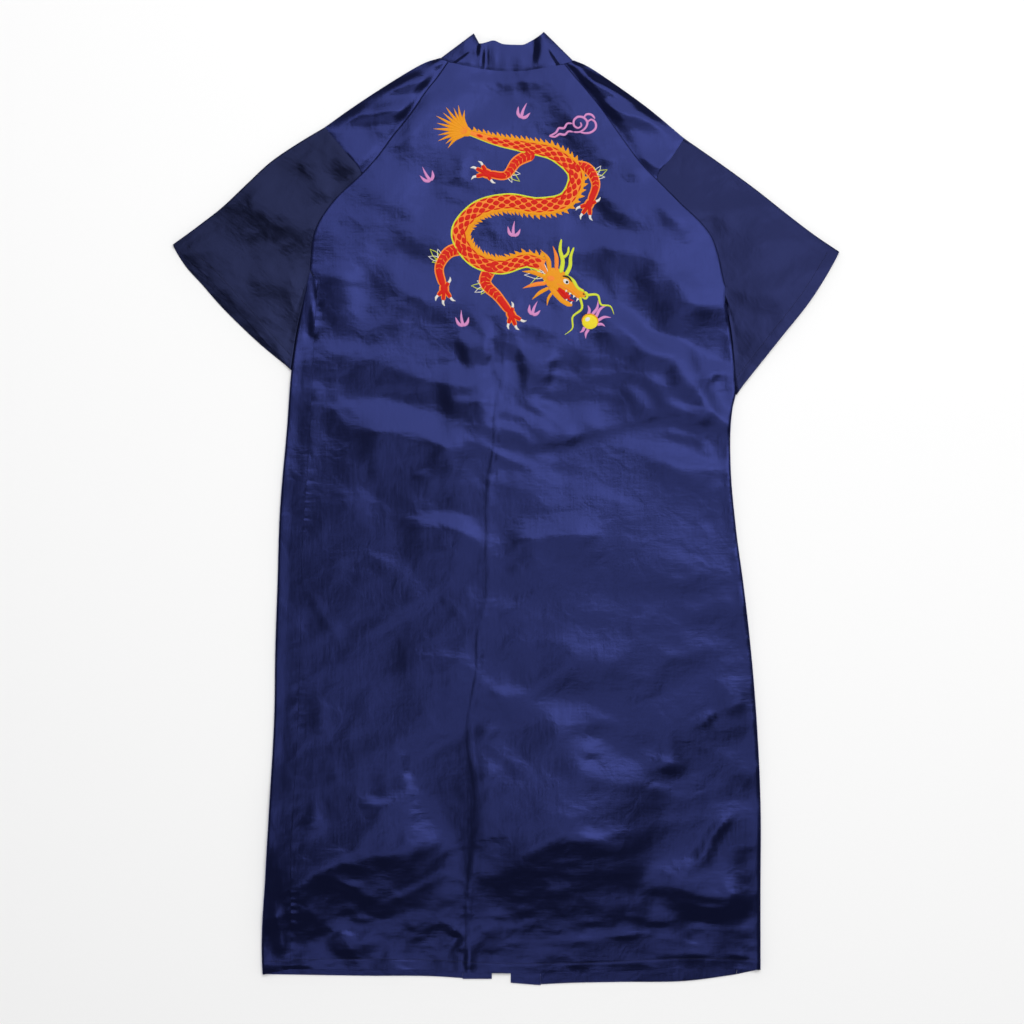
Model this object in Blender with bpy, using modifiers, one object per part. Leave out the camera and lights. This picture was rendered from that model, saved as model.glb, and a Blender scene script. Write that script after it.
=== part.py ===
"""A satin kimono robe laid flat on its fronts, back side up: back, two fronts, two sleeves and a neckband.

Tables are in millimetres. "across" runs from the robe's centre line to the right and "up" from
the lowest hem. The cloth's middle surface is built in rows and then given its thickness.
"""

import math

import bmesh
import bpy
from mathutils import Vector

MM = 0.001
LENGTH = 1210
CLOTH = 1.0
SEAM_GAP = 0.4

# Heights of the middle of each layer above the surface that the robe lies on.
FRONT_LEVEL = 0.5
BACK_LEVEL = 1.85
LAYER_STEP = 2.2
BAND_LEVEL = 2.5
TURN_REACH = 1.6
TURN_ANGLES = (0.0, 45.0, 90.0, 135.0, 180.0)

BACK_COLUMNS = 23
BODY_ROWS = 25
FRONT_COLUMNS = 6
TUCK_SLOPE = 62
NECK_CURVE_ROWS = 6
EDGE_ROLL = 16
UNDERARM_FLAT = 20
UNDER_WRAP = 30
WRAP_NOTCH = 0.12

SATIN_NAVY = (0.022, 0.024, 0.125, 1.0)
SATIN_ROUGHNESS = 0.38

# The back above the underarm: shoulder and armhole edge, hidden turn and showing fold of each
# side's tuck, as (across, up), a row from the neck down to the underarm.
TUCK_ROWS = (
    {"outer_l": (-84, 1177), "turn_l": (-68, 1169), "fold_l": (-74, 1172),
     "fold_r": (75, 1169), "turn_r": (68, 1166), "outer_r": (86, 1174)},
    {"outer_l": (-107, 1169), "turn_l": (-75, 1146), "fold_l": (-88, 1152),
     "fold_r": (87, 1154), "turn_r": (76, 1147), "outer_r": (106, 1165)},
    {"outer_l": (-146, 1146), "turn_l": (-83, 1121), "fold_l": (-103, 1133),
     "fold_r": (104, 1134), "turn_r": (86, 1122), "outer_r": (142, 1141)},
    {"outer_l": (-192, 1116), "turn_l": (-99, 1090), "fold_l": (-122, 1105),
     "fold_r": (123, 1110), "turn_r": (102, 1094), "outer_r": (183, 1111)},
    {"outer_l": (-230, 1089), "turn_l": (-118, 1062), "fold_l": (-144, 1078),
     "fold_r": (147, 1076), "turn_r": (122, 1060), "outer_r": (226, 1075)},
    {"outer_l": (-205, 1059), "turn_l": (-136, 1034), "fold_l": (-163, 1052),
     "fold_r": (170, 1045), "turn_r": (142, 1030), "outer_r": (211, 1052)},
    {"outer_l": (-183, 1028), "turn_l": (-150, 1007), "fold_l": (-184, 1029),
     "fold_r": (192, 1022), "turn_r": (161, 1004), "outer_r": (192, 1024)},
    {"outer_l": (-193, 989), "turn_l": (-168, 978), "fold_l": (-221, 993),
     "fold_r": (221, 993), "turn_r": (184, 974), "outer_r": (207, 984)},
    {"outer_l": (-216, 945), "turn_l": (-194, 936), "fold_l": (-243, 956),
     "fold_r": (261, 950), "turn_r": (218, 922), "outer_r": (238, 932)},
    {"outer_l": (-243, 904), "turn_l": (-233, 906), "fold_l": (-249, 908),
     "fold_r": (278.5, 886), "turn_r": (262, 869), "outer_r": (275, 873.5)},
)

# The body below the underarm, as (up, across) of each long edge. The left fold belongs to the left
# front, which wraps up and over to a side seam on top. The right fold belongs to the back.
LEFT_FOLD = (
    (891, -249), (838, -263), (782, -272), (707, -278), (601, -287), (511, -290),
    (417, -293), (347, -294), (235, -300), (147, -305), (38, -310), (14, -309),
)
LEFT_SEAM = (
    (891, -239), (832, -243), (759, -246), (668, -251), (566, -258), (478, -260),
    (368, -263), (271, -267), (192, -272), (57, -273), (20, -274),
)
RIGHT_FOLD = (
    (865, 279), (823, 286), (765, 290), (745, 288), (725, 286), (662, 285),
    (579, 292), (504, 302), (414, 312), (323, 319), (235, 323), (114, 323), (20, 323),
)
BACK_HEM = ((-274, 21), (-100, 20), (-20, 16), (120, 17), (230, 22), (323, 20))
LEFT_FRONT_HEM = ((-309, 14), (-180, 12), (-84, 11), (-55, 9))
RIGHT_FRONT_HEM = ((44, 1), (70, 2.5), (137, 4), (234, 6), (294, 14))

# The neckband, as (across, up) of its sewn edge and its free edge, from the left front's hem to
# the left fold, over the back of the neck, and from the right fold to the right front's hem.
LEFT_BAND = (
    {"sewn": (-55, 8), "free": (-18, 8)},
    {"sewn": (-54, 230), "free": (-17, 230)},
    {"sewn": (-53, 450), "free": (-16, 450)},
    {"sewn": (-53, 650), "free": (-16, 650)},
    {"sewn": (-53, 800), "free": (-16, 802)},
    {"sewn": (-55, 880), "free": (-18, 885)},
    {"sewn": (-60, 950), "free": (-23, 960)},
    {"sewn": (-68, 1020), "free": (-30, 1035)},
    {"sewn": (-77, 1085), "free": (-36, 1105)},
    {"sewn": (-83, 1135), "free": (-40, 1160)},
)
LEFT_BAND_FOLD = {"sewn": (-86, 1180), "free": (-41, 1208)}
NECK_BAND = (
    {"sewn": (-68, 1171), "free": (-34, 1195)},
    {"sewn": (-52, 1167.5), "free": (-29, 1195.5)},
    {"sewn": (-38, 1165), "free": (-24, 1197)},
    {"sewn": (-22, 1162.5), "free": (-17, 1199)},
    {"sewn": (-6, 1161), "free": (-4, 1194.5)},
    {"sewn": (10, 1160.5), "free": (10, 1193.5)},
    {"sewn": (25, 1161), "free": (23, 1194)},
    {"sewn": (38, 1163), "free": (31, 1198)},
    {"sewn": (52, 1165), "free": (38, 1202)},
    {"sewn": (69, 1168), "free": (44, 1206)},
)
RIGHT_BAND_FOLD = {"sewn": (88, 1176), "free": (48, 1210)}
RIGHT_BAND = (
    {"sewn": (84, 1135), "free": (42, 1160)},
    {"sewn": (78, 1085), "free": (36, 1105)},
    {"sewn": (69, 1020), "free": (30, 1035)},
    {"sewn": (61, 950), "free": (22, 960)},
    {"sewn": (54, 880), "free": (14, 885)},
    {"sewn": (50, 800), "free": (11, 802)},
    {"sewn": (48, 650), "free": (10, 650)},
    {"sewn": (47, 450), "free": (9, 450)},
    {"sewn": (45, 230), "free": (7, 230)},
    {"sewn": (44, 0), "free": (6, 3)},
)

# Each sleeve's top fold, underarm fold and cuff, as (across, up), from the armhole outwards and,
# at the cuff, from the top fold down. The under layer of the left cuff reaches a little further.
SLEEVES = {
    "sleeve_left": {
        "side": "l",
        "top": ((-231, 1089), (-262, 1070), (-300, 1044), (-330, 1016), (-362, 986),
                (-389, 965), (-423, 940)),
        "underarm": ((-244, 905), (-251, 892), (-264, 838), (-273, 781)),
        "cuff": ((-423, 940), (-399, 916), (-377, 897), (-354, 872), (-330, 845),
                 (-306, 817), (-273, 781)),
        "under_reach": 13,
        "cuff_crowding": 1.3,
        "underarm_spread": 16,
    },
    "sleeve_right": {
        "side": "r",
        "top": ((227, 1075), (272, 1043), (316, 1011), (359, 977), (392, 952), (423, 931)),
        "underarm": ((277.5, 875), (283, 861), (287.5, 823), (291.5, 765), (294, 752)),
        "cuff": ((423, 931), (385, 870), (348, 823), (294, 752)),
        "under_reach": 2,
        "cuff_crowding": 2.6,
        "underarm_spread": 24,
    },
}
SLEEVE_STEPS = 10
SLEEVE_ROUND = 10
SLEEVE_PUFF = 1.4
CUFF_TIP_SHARE = 0.016

# The largest folds of the cloth, as the two ends of each crest or hollow, its half width and its
# height over the back's level.
BACK_FOLDS = (
    {"start": (70, 950), "end": (262, 770), "width": 26, "height": 3.4},
    {"start": (20, 905), "end": (180, 740), "width": 30, "height": 2.2},
    {"start": (190, 810), "end": (284, 752), "width": 17, "height": 3.6},
    {"start": (-190, 930), "end": (-60, 820), "width": 30, "height": 1.8},
    {"start": (-268, 75), "end": (-150, 168), "width": 26, "height": 3.6},
    {"start": (-160, 90), "end": (-75, 165), "width": 22, "height": 3.2},
    {"start": (-20, 60), "end": (-10, 280), "width": 18, "height": 2.6},
    {"start": (5, 130), "end": (130, 196), "width": 26, "height": 3.8},
    {"start": (130, 196), "end": (230, 176), "width": 22, "height": 3.0},
    {"start": (210, 128), "end": (316, 120), "width": 20, "height": 3.2},
    {"start": (-6, 300), "end": (-4, 830), "width": 12, "height": 1.0},
    {"start": (-190, 745), "end": (180, 748), "width": 16, "height": 1.0},
    {"start": (-120, 566), "end": (160, 566), "width": 16, "height": 0.9},
    {"start": (150, 300), "end": (250, 330), "width": 24, "height": 2.2},
)


def blend(start, end, share):
    """The point this share of the way from start to end."""
    return Vector(start).lerp(Vector(end), share)


def read_row(table, key):
    """The value beside key in a table of (key, value) rows, straight between its rows."""
    rows = sorted(table)
    if key <= rows[0][0]:
        return rows[0][1]
    for low, high in zip(rows, rows[1:]):
        if key <= high[0]:
            share = (key - low[0]) / (high[0] - low[0])
            return low[1] + share * (high[1] - low[1])
    return rows[-1][1]


def at_shares(points, shares):
    """The points that lie at these shares of the length of the line through points."""
    line = [Vector(point) for point in points]
    lengths = [0.0]
    for before, after in zip(line, line[1:]):
        lengths.append(lengths[-1] + (after - before).length)
    found = []
    for share in shares:
        place = lengths[-1] * share
        part = 0
        while part < len(line) - 2 and lengths[part + 1] < place:
            part += 1
        inside = (place - lengths[part]) / (lengths[part + 1] - lengths[part])
        found.append(line[part].lerp(line[part + 1], inside))
    return found


def spaced(points, count):
    """count points at even distances along the line through points."""
    return at_shares(points, [step / (count - 1) for step in range(count)])


def ease(share):
    """A smooth step from 0 to 1."""
    share = min(max(share, 0.0), 1.0)
    return share * share * (3 - 2 * share)


def turned(edge, outwards, high, low):
    """Points round a fold that reaches the point edge, from the height high to the height low."""
    centre = edge - outwards * (TURN_REACH + CLOTH / 2)
    points = []
    for angle in TURN_ANGLES:
        place = centre + outwards * TURN_REACH * math.sin(math.radians(angle))
        height = (high + low) / 2 + (high - low) / 2 * math.cos(math.radians(angle))
        points.append(Vector((place.x, place.y, height)))
    return points


def level(point, height):
    return Vector((point.x, point.y, height))


def between(start, end, count):
    """count points strictly between start and end, at even distances."""
    return [start.lerp(end, (step + 1) / (count + 1)) for step in range(count)]


def fold_height(across, up):
    """The height of the largest folds over the back's level at one place."""
    height = 0.0
    for fold in BACK_FOLDS:
        start = Vector(fold["start"])
        run = Vector(fold["end"]) - start
        place = Vector((across, up)) - start
        share = min(max(place.dot(run) / run.length_squared, 0.0), 1.0)
        distance = (place - run * share).length / fold["width"]
        height += fold["height"] * math.exp(-distance * distance)
    return height


def shoulder_rows():
    """The tuck table with a row added halfway between each two rows."""
    rows = []
    for upper, lower in zip(TUCK_ROWS, TUCK_ROWS[1:]):
        rows.append({name: Vector(upper[name]) for name in upper})
        rows.append({name: blend(upper[name], lower[name], 0.5) for name in upper})
    rows.append({name: Vector(TUCK_ROWS[-1][name]) for name in TUCK_ROWS[-1]})
    return rows


def body_share(number):
    """How far down the body a row lies, from 0 at the underarm to 1 at the hem."""
    return number / (BODY_ROWS - 1)


def down_from(underarm, hem, number):
    """The height of one body row on a line that starts and ends at these heights."""
    return underarm + (hem - underarm) * body_share(number)


def left_seam(number):
    """Where one body row crosses the side seam that shows on top at the left."""
    up = down_from(LEFT_SEAM[0][0], read_row(BACK_HEM, BACK_HEM[0][0]), number)
    return Vector((read_row(LEFT_SEAM, up), up))


def right_seam(number):
    """Where one body row crosses the side seam underneath at the right."""
    up = down_from(RIGHT_FOLD[0][0] + 2, read_row(RIGHT_FRONT_HEM, RIGHT_FRONT_HEM[-1][0]), number)
    return Vector((read_row(RIGHT_FOLD, up) - UNDER_WRAP, up))


def to_hem(points, hem, number):
    """Bend a row's inner points to the hem's line, more the nearer the row is to the hem."""
    first = points[0]
    last = points[-1]
    for point in points[1:-1]:
        share = (point.x - first.x) / (last.x - first.x)
        straight = first.y + (last.y - first.y) * share
        point.y += body_share(number) ** 6 * (read_row(hem, point.x) - straight)


def add_grid(bm, rows, first_column=None, mirrored=False):
    """Join rows of points with four-sided faces, carrying on from a column of corners if given."""
    corners = []
    for number, row in enumerate(rows):
        start = [first_column[number]] if first_column else []
        corners.append(start + [bm.verts.new(point * MM) for point in row])
    for upper, lower in zip(corners, corners[1:]):
        for column in range(len(upper) - 1):
            face = [upper[column], lower[column], lower[column + 1], upper[column + 1]]
            bm.faces.new(reversed(face) if mirrored else face)
    return corners


def tuck_strip(fold, turn, outer, fold_turn):
    """The hidden part of one tuck: round the fold, back under it, round again and out."""
    middle_level = BACK_LEVEL + LAYER_STEP
    inwards = (turn - fold).normalized()
    inner_turn = turned(turn, inwards, middle_level, BACK_LEVEL)
    run_in = between(fold_turn[-1], inner_turn[0], 2)
    run_out = between(inner_turn[-1], level(outer, BACK_LEVEL), 3)
    return fold_turn[1:] + run_in + inner_turn + run_out + [level(outer, BACK_LEVEL)]


def neck_curve(across):
    """The height of the back's sewn edge under the neckband."""
    return read_row([row["sewn"] for row in NECK_BAND], across) - SEAM_GAP


def neck_straight(share):
    """The height at this share of the straight line between the two folds at the neck."""
    left = TUCK_ROWS[0]["fold_l"][1]
    right = TUCK_ROWS[0]["fold_r"][1]
    return left + (right - left) * share


def across_back(row_start, row_end, rise_start, rise_end, neck_share=0):
    """One row of the back, with each end's rise given as (height, flat width, slope width)."""
    start = Vector((row_start.x, row_start.y))
    end = Vector((row_end.x, row_end.y))
    width = (end - start).length
    points = [row_start]
    for column in range(1, BACK_COLUMNS):
        share = column / BACK_COLUMNS
        place = start.lerp(end, share)
        place.y += neck_share * (neck_curve(place.x) - neck_straight(share))
        lifts = []
        for rise, distance in ((rise_start, width * share), (rise_end, width * (1 - share))):
            high, flat, slope = rise
            lifts.append(high * (1 - ease((distance - flat) / slope)))
        cover = min(1.0, ease(min(share, 1 - share) * width / 30))
        cover *= 1 - min(1.0, max(lifts) / (2 * LAYER_STEP))
        height = BACK_LEVEL + max(lifts) + cover * fold_height(place.x, place.y)
        points.append(Vector((place.x, place.y, height)))
    points.append(row_end)
    return points


def make_back(bm):
    top_level = BACK_LEVEL + 2 * LAYER_STEP
    middle_level = BACK_LEVEL + LAYER_STEP
    rows = []
    strips = {"l": [], "r": []}
    tucks = shoulder_rows()
    for number, row in enumerate(tucks):
        ends = {}
        rises = {}
        for side in "lr":
            fold = row["fold_" + side]
            turn = row["turn_" + side]
            fold_turn = turned(fold, (fold - turn).normalized(), top_level, middle_level)
            strips[side].append(tuck_strip(fold, turn, row["outer_" + side], fold_turn))
            ends[side] = fold_turn[0]
            rises[side] = (2 * LAYER_STEP, (turn - fold).length + 3, TUCK_SLOPE)
        neck_share = 1 - ease(number / NECK_CURVE_ROWS)
        rows.append(across_back(ends["l"], ends["r"], rises["l"], rises["r"], neck_share))
    wrap = []
    half_gap = Vector((SEAM_GAP / 2, 0))
    low_roll = (FRONT_LEVEL + LAYER_STEP - BACK_LEVEL, 0, EDGE_ROLL)
    underarm_roll = (top_level - BACK_LEVEL, UNDERARM_FLAT, TUCK_SLOPE)
    for number in range(BODY_ROWS):
        seam = left_seam(number) + half_gap
        up = down_from(RIGHT_FOLD[0][0], RIGHT_FOLD[-1][0], number)
        edge = Vector((read_row(RIGHT_FOLD, up), up))
        roll = low_roll if number else underarm_roll
        turn = turned(edge, Vector((1, 0)), BACK_LEVEL + roll[0], FRONT_LEVEL)
        inside = right_seam(number)
        if number == 0:
            inside = inside.lerp(right_seam(1), WRAP_NOTCH)
        inside = level(inside + half_gap, FRONT_LEVEL)
        wrap.append(turn[1:] + between(turn[-1], inside, 1) + [inside])
        row = across_back(level(seam, BACK_LEVEL), turn[0], (0, 0, 1), roll)
        to_hem(row, BACK_HEM, number)
        rows.append(row)
    corners = add_grid(bm, rows)
    first = len(tucks)
    add_grid(bm, strips["l"], [row[0] for row in corners[:first]], mirrored=True)
    add_grid(bm, strips["r"], [row[-1] for row in corners[:first]])
    add_grid(bm, wrap, [row[-1] for row in corners[first:]])


def sewn_across(band, fold, up):
    """Where the band's sewn edge lies across at one height."""
    table = [(row["sewn"][1], row["sewn"][0]) for row in band]
    table.append((fold["sewn"][1], fold["sewn"][0]))
    return read_row(table, up)


def front_row(inner, outer):
    """One row of a front, from its outer edge to the band."""
    return [outer] + between(outer, inner, FRONT_COLUMNS - 1) + [inner]


def front_shoulder_rows(side, band, fold, gap):
    """A front's rows above the underarm, from the neck down, outer edge first."""
    tucks = shoulder_rows()
    rows = []
    for number, row in enumerate(tucks):
        outer = row["outer_" + side]
        if number == 0:
            outer = outer.lerp(tucks[1]["outer_" + side], 0.7)
        inner = Vector((sewn_across(band, fold, outer.y - 3) + gap, outer.y - 3))
        rows.append(front_row(level(inner, FRONT_LEVEL), level(outer, FRONT_LEVEL)))
    return rows


def make_front_left(bm):
    rows = front_shoulder_rows("l", LEFT_BAND, LEFT_BAND_FOLD, -SEAM_GAP)
    first = len(rows)
    wrap = []
    for number in range(BODY_ROWS):
        up = down_from(LEFT_FOLD[0][0] - 2, LEFT_FRONT_HEM[0][1], number)
        edge = Vector((read_row(LEFT_FOLD, up), up))
        turn = turned(edge, Vector((-1, 0)), FRONT_LEVEL + LAYER_STEP, FRONT_LEVEL)
        turn.reverse()
        seam = level(left_seam(number) - Vector((SEAM_GAP / 2, 0)), BACK_LEVEL)
        wrap.append(turn[1:] + between(turn[-1], seam, 2) + [seam])
        inner_up = down_from(LEFT_FOLD[0][0] - 2, LEFT_FRONT_HEM[-1][1], number)
        inner = Vector((sewn_across(LEFT_BAND, LEFT_BAND_FOLD, inner_up) - SEAM_GAP, inner_up))
        row = front_row(level(inner, FRONT_LEVEL), turn[0])
        to_hem(row, LEFT_FRONT_HEM, number)
        rows.append(row)
    corners = add_grid(bm, rows)
    add_grid(bm, wrap, [row[0] for row in corners[first:]], mirrored=True)


def make_front_right(bm):
    rows = front_shoulder_rows("r", RIGHT_BAND, RIGHT_BAND_FOLD, SEAM_GAP)
    for number in range(BODY_ROWS):
        outer = right_seam(number) - Vector((SEAM_GAP / 2, 0))
        inner_up = down_from(RIGHT_FOLD[0][0], RIGHT_FRONT_HEM[0][1], number)
        inner = Vector((sewn_across(RIGHT_BAND, RIGHT_BAND_FOLD, inner_up) + SEAM_GAP, inner_up))
        row = front_row(level(inner, FRONT_LEVEL), level(outer, FRONT_LEVEL))
        to_hem(row, RIGHT_FRONT_HEM, number)
        rows.append(row)
    add_grid(bm, [row[::-1] for row in rows])


def beside_line(line, number):
    """The direction at right angles to a line of points, to its right as it runs."""
    before = line[max(number - 1, 0)]
    after = line[min(number + 1, len(line) - 1)]
    run = (after - before).normalized()
    return Vector((run.y, -run.x))


def sleeve_plan(start_line, end_line, top_line, low_line, outwards):
    """Sections of a sleeve seen from above, carried from the armhole's points to the cuff's.

    Near the underarm they are moved by outwards, so that they meet its fold at a wide angle.
    """
    plan = []
    for step in range(SLEEVE_STEPS + 1):
        along = step / SLEEVE_STEPS
        straight = [start.lerp(end, along) for start, end in zip(start_line, end_line)]
        top_bend = top_line[step] - straight[0]
        low_bend = low_line[step] - straight[-1]
        section = []
        for number, place in enumerate(straight):
            share = number / SLEEVE_ROUND
            place = place + top_bend * (1 - share) + low_bend * share
            if number < SLEEVE_ROUND:
                spread = min(1, SLEEVE_STEPS * along) * (1 - along) ** 2 * share ** 3
                place += outwards * spread
            section.append(place)
        plan.append(section)
    return plan


def make_sleeve(bm, sleeve):
    side = sleeve["side"]
    armhole = [row["outer_" + side] for row in shoulder_rows()[-SLEEVE_ROUND - 1:]]
    turn_sign = 1 if side == "l" else -1
    start_line = []
    for number, point in enumerate(armhole):
        start_line.append(point + beside_line(armhole, number) * turn_sign * SEAM_GAP)
    start_line[0] = Vector(sleeve["top"][0])
    start_line[-1] = Vector(sleeve["underarm"][0])
    shares = []
    for number in range(SLEEVE_ROUND + 1):
        crowded = (number / SLEEVE_ROUND) ** sleeve["cuff_crowding"]
        shares.append(max(crowded, number * CUFF_TIP_SHARE))
    end_line = at_shares(sleeve["cuff"], shares)
    top_line = spaced(sleeve["top"], SLEEVE_STEPS + 1)
    low_line = spaced(sleeve["underarm"], SLEEVE_STEPS + 1)
    outwards = (end_line[SLEEVE_ROUND // 2] - start_line[SLEEVE_ROUND // 2]).normalized()
    spread = outwards * sleeve["underarm_spread"]
    plan = sleeve_plan(start_line, end_line, top_line, low_line, spread)
    rings = []
    for step, section in enumerate(plan):
        along = step / SLEEVE_STEPS
        top_out = beside_line(top_line, step) * turn_sign
        low_out = beside_line(low_line, step) * -turn_sign
        top_turn = turned(section[0], top_out, FRONT_LEVEL + LAYER_STEP, FRONT_LEVEL)
        low_turn = turned(section[-1], low_out, FRONT_LEVEL + LAYER_STEP, FRONT_LEVEL)
        upper = []
        under = []
        for number in range(1, SLEEVE_ROUND):
            round_share = math.sin(math.pi * number / SLEEVE_ROUND)
            puff = SLEEVE_PUFF * ease(along * 2.5 - 0.5) * round_share
            reach = sleeve["under_reach"] * along ** 3 * round_share
            upper.append(level(section[number], BACK_LEVEL + puff))
            under.append(level(section[number] + outwards * reach, FRONT_LEVEL))
        rings.append(top_turn[::-1] + upper + low_turn + under[::-1])
    corners = add_grid(bm, rings, mirrored=side == "r")
    for upper_ring, lower_ring in zip(corners, corners[1:]):
        face = [upper_ring[-1], lower_ring[-1], lower_ring[0], upper_ring[0]]
        bm.faces.new(reversed(face) if side == "r" else face)


def band_row(row, height, outwards=None, swing=0.0):
    """One row across the band, moved outwards by swing where it goes round a fold."""
    sewn = Vector(row["sewn"])
    free = Vector(row["free"])
    if outwards:
        sewn += outwards * swing
        free += outwards * swing
    middle = sewn.lerp(free, 0.5)
    return [level(sewn, height), level(middle, height), level(free, height)]


def band_fold(row, outwards):
    """The band's rows round one of its folds, from the under side to the top."""
    middle = (FRONT_LEVEL + BAND_LEVEL) / 2
    rise = (BAND_LEVEL - FRONT_LEVEL) / 2
    rows = []
    for angle in TURN_ANGLES:
        swing = TURN_REACH * math.sin(math.radians(angle)) - TURN_REACH - CLOTH / 2
        height = middle - rise * math.cos(math.radians(angle))
        rows.append(band_row(row, height, outwards, swing))
    return rows


def make_band(bm):
    left_run = Vector(LEFT_BAND_FOLD["free"]) - Vector(LEFT_BAND_FOLD["sewn"])
    right_run = Vector(RIGHT_BAND_FOLD["sewn"]) - Vector(RIGHT_BAND_FOLD["free"])
    left_out = Vector((-left_run.y, left_run.x)).normalized()
    right_out = Vector((-right_run.y, right_run.x)).normalized()
    rows = [band_row(row, FRONT_LEVEL) for row in LEFT_BAND]
    rows += band_fold(LEFT_BAND_FOLD, left_out)
    rows += [band_row(row, BAND_LEVEL) for row in NECK_BAND]
    rows += band_fold(RIGHT_BAND_FOLD, right_out)[::-1]
    rows += [band_row(row, FRONT_LEVEL) for row in RIGHT_BAND]
    add_grid(bm, rows)


def satin(name):
    material = bpy.data.materials.new(name)
    material.use_nodes = True
    shader = material.node_tree.nodes["Principled BSDF"]
    shader.inputs["Base Color"].default_value = SATIN_NAVY
    shader.inputs["Roughness"].default_value = SATIN_ROUGHNESS
    shader.inputs["Metallic"].default_value = 0.0
    return material


def finish(bm, name, collection):
    """Move the sheet to the robe's frame, give it the cloth's thickness and a material."""
    bmesh.ops.translate(bm, verts=bm.verts, vec=Vector((0, -LENGTH / 2 * MM, 0)))
    mesh = bpy.data.meshes.new(name)
    bm.to_mesh(mesh)
    bm.free()
    sheet = bpy.data.objects.new(name, mesh)
    collection.objects.link(sheet)
    thick = sheet.modifiers.new("cloth", "SOLIDIFY")
    thick.thickness = CLOTH * MM
    thick.offset = 0
    thick.use_rim = True
    mesh.materials.append(satin(name + " satin"))
    mesh.shade_smooth()
    return sheet


def main():
    for old in list(bpy.data.objects):
        bpy.data.objects.remove(old, do_unlink=True)
    robe = bpy.data.collections.new("kimono robe")
    bpy.context.scene.collection.children.link(robe)
    makers = {
        "back": make_back,
        "front_left": make_front_left,
        "front_right": make_front_right,
        "neckband": make_band,
    }
    for name, make in makers.items():
        bm = bmesh.new()
        make(bm)
        finish(bm, name, robe)
    for name, sleeve in SLEEVES.items():
        bm = bmesh.new()
        make_sleeve(bm, sleeve)
        finish(bm, name, robe)


main()
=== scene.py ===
# Kimono robe in navy satin with an embroidered back, laid flat with its back side up.
# Sizes are in millimetres unless a comment says otherwise. "across" runs to the right from the
# robe's centre line, and "up" runs from the lowest hem to the neckband.
import math

import bpy
import numpy as np
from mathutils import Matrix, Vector, noise
from mathutils.bvhtree import BVHTree


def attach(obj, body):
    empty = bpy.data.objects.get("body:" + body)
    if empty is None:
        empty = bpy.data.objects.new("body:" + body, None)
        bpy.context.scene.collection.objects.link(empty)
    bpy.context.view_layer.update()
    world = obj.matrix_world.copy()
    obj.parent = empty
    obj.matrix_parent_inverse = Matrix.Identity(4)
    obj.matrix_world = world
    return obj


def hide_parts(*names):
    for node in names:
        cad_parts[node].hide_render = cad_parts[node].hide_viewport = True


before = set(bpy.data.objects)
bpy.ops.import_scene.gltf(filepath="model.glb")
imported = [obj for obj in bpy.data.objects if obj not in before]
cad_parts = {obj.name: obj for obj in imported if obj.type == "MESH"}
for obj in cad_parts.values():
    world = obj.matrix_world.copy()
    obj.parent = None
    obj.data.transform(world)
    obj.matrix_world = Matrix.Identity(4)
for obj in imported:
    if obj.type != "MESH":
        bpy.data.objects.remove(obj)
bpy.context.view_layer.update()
bpy.ops.object.select_all(action="DESELECT")
print("frame loaded:", ", ".join(sorted(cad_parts)))

robe = {
    "length": 1210,
    "cloth": 0.5,        # drawn twice as thick as the real satin, so that its cut edges show
    "seamGap": 0.3,
    "frontLevel": 0.5,   # middle of the layer that lies on the surface
    "backLevel": 1.85,
    "layerStep": 2.2,
    "turnReach": 1.0,    # how far a folded edge bulges past its flat layers
    "turnPoints": 7,
    "tuckSlope": 62,     # reach of the slope beside a shoulder fold
    "wrapUnder": 30,
    "edgeRoll": 16,      # reach and height of the roll along a folded edge
    "edgeLift": 0.85,
    "shoulderPuff": 2.4,
    "seamDip": 0.3,
    "hemDepth": 12.5,
    "hemBend": 6,        # the higher, the later the rows bend to the hem's curve
}
cover = robe["turnReach"] + robe["cloth"] / 2      # from a folded edge in to its flat layers
layerStep = robe["layerStep"]

# The back above the underarm, from the neck down: shoulder and armhole edge, hidden turn and
# showing fold of the tuck on each side, as (across, up).
tuckRows = {
    "outerL": ((-84, 1177), (-107, 1169), (-146, 1146), (-192, 1116), (-230, 1089),
               (-205, 1059), (-183, 1028), (-193, 989), (-216, 945), (-243, 904)),
    "turnL": ((-68, 1169), (-75, 1146), (-83, 1121), (-99, 1090), (-118, 1062),
              (-136, 1034), (-150, 1007), (-168, 978), (-194, 936), (-233, 906)),
    "foldL": ((-74, 1172), (-88, 1152), (-103, 1133), (-122, 1105), (-144, 1078),
              (-163, 1052), (-184, 1029), (-221, 993), (-243, 956), (-249, 908)),
    "foldR": ((75, 1169), (87, 1154), (104, 1134), (123, 1110), (147, 1076),
              (170, 1045), (192, 1022), (221, 993), (261, 950), (278.5, 886)),
    "turnR": ((68, 1166), (76, 1147), (86, 1122), (102, 1094), (122, 1060),
              (142, 1030), (161, 1004), (184, 974), (218, 922), (262, 869)),
    "outerR": ((86, 1174), (106, 1165), (142, 1141), (183, 1111), (226, 1075),
               (211, 1052), (192, 1024), (207, 984), (238, 932), (275, 873.5)),
}
shoulderCorner = 4       # the row of the tuck table where the shoulder ends and the armhole starts
lastTuckRow = 9

# Long edges below the underarm, as (up, across).
leftFold = ((891, -249), (838, -263), (782, -272), (707, -278), (601, -287), (511, -290),
            (417, -293), (347, -294), (235, -300), (147, -305), (38, -310), (14, -309))
leftSeam = ((891, -239), (832, -243), (759, -246), (668, -251), (566, -258), (478, -260),
            (368, -263), (271, -267), (192, -272), (57, -273), (20, -274))
rightFold = ((865, 279), (823, 286), (768, 291), (750, 291.5), (735, 288), (720, 286), (662, 285),
             (579, 292), (504, 302), (414, 312), (323, 319), (235, 323), (114, 323), (20, 323))
centreCrease = ((1172, 0), (827, -2), (759, -5), (737, -11), (679, -14), (646, -20),
                (566, -23), (489, -24), (444, -34), (395, -36), (368, -41), (329, -47),
                (235, -37), (104, -48), (20, -48))

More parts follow.
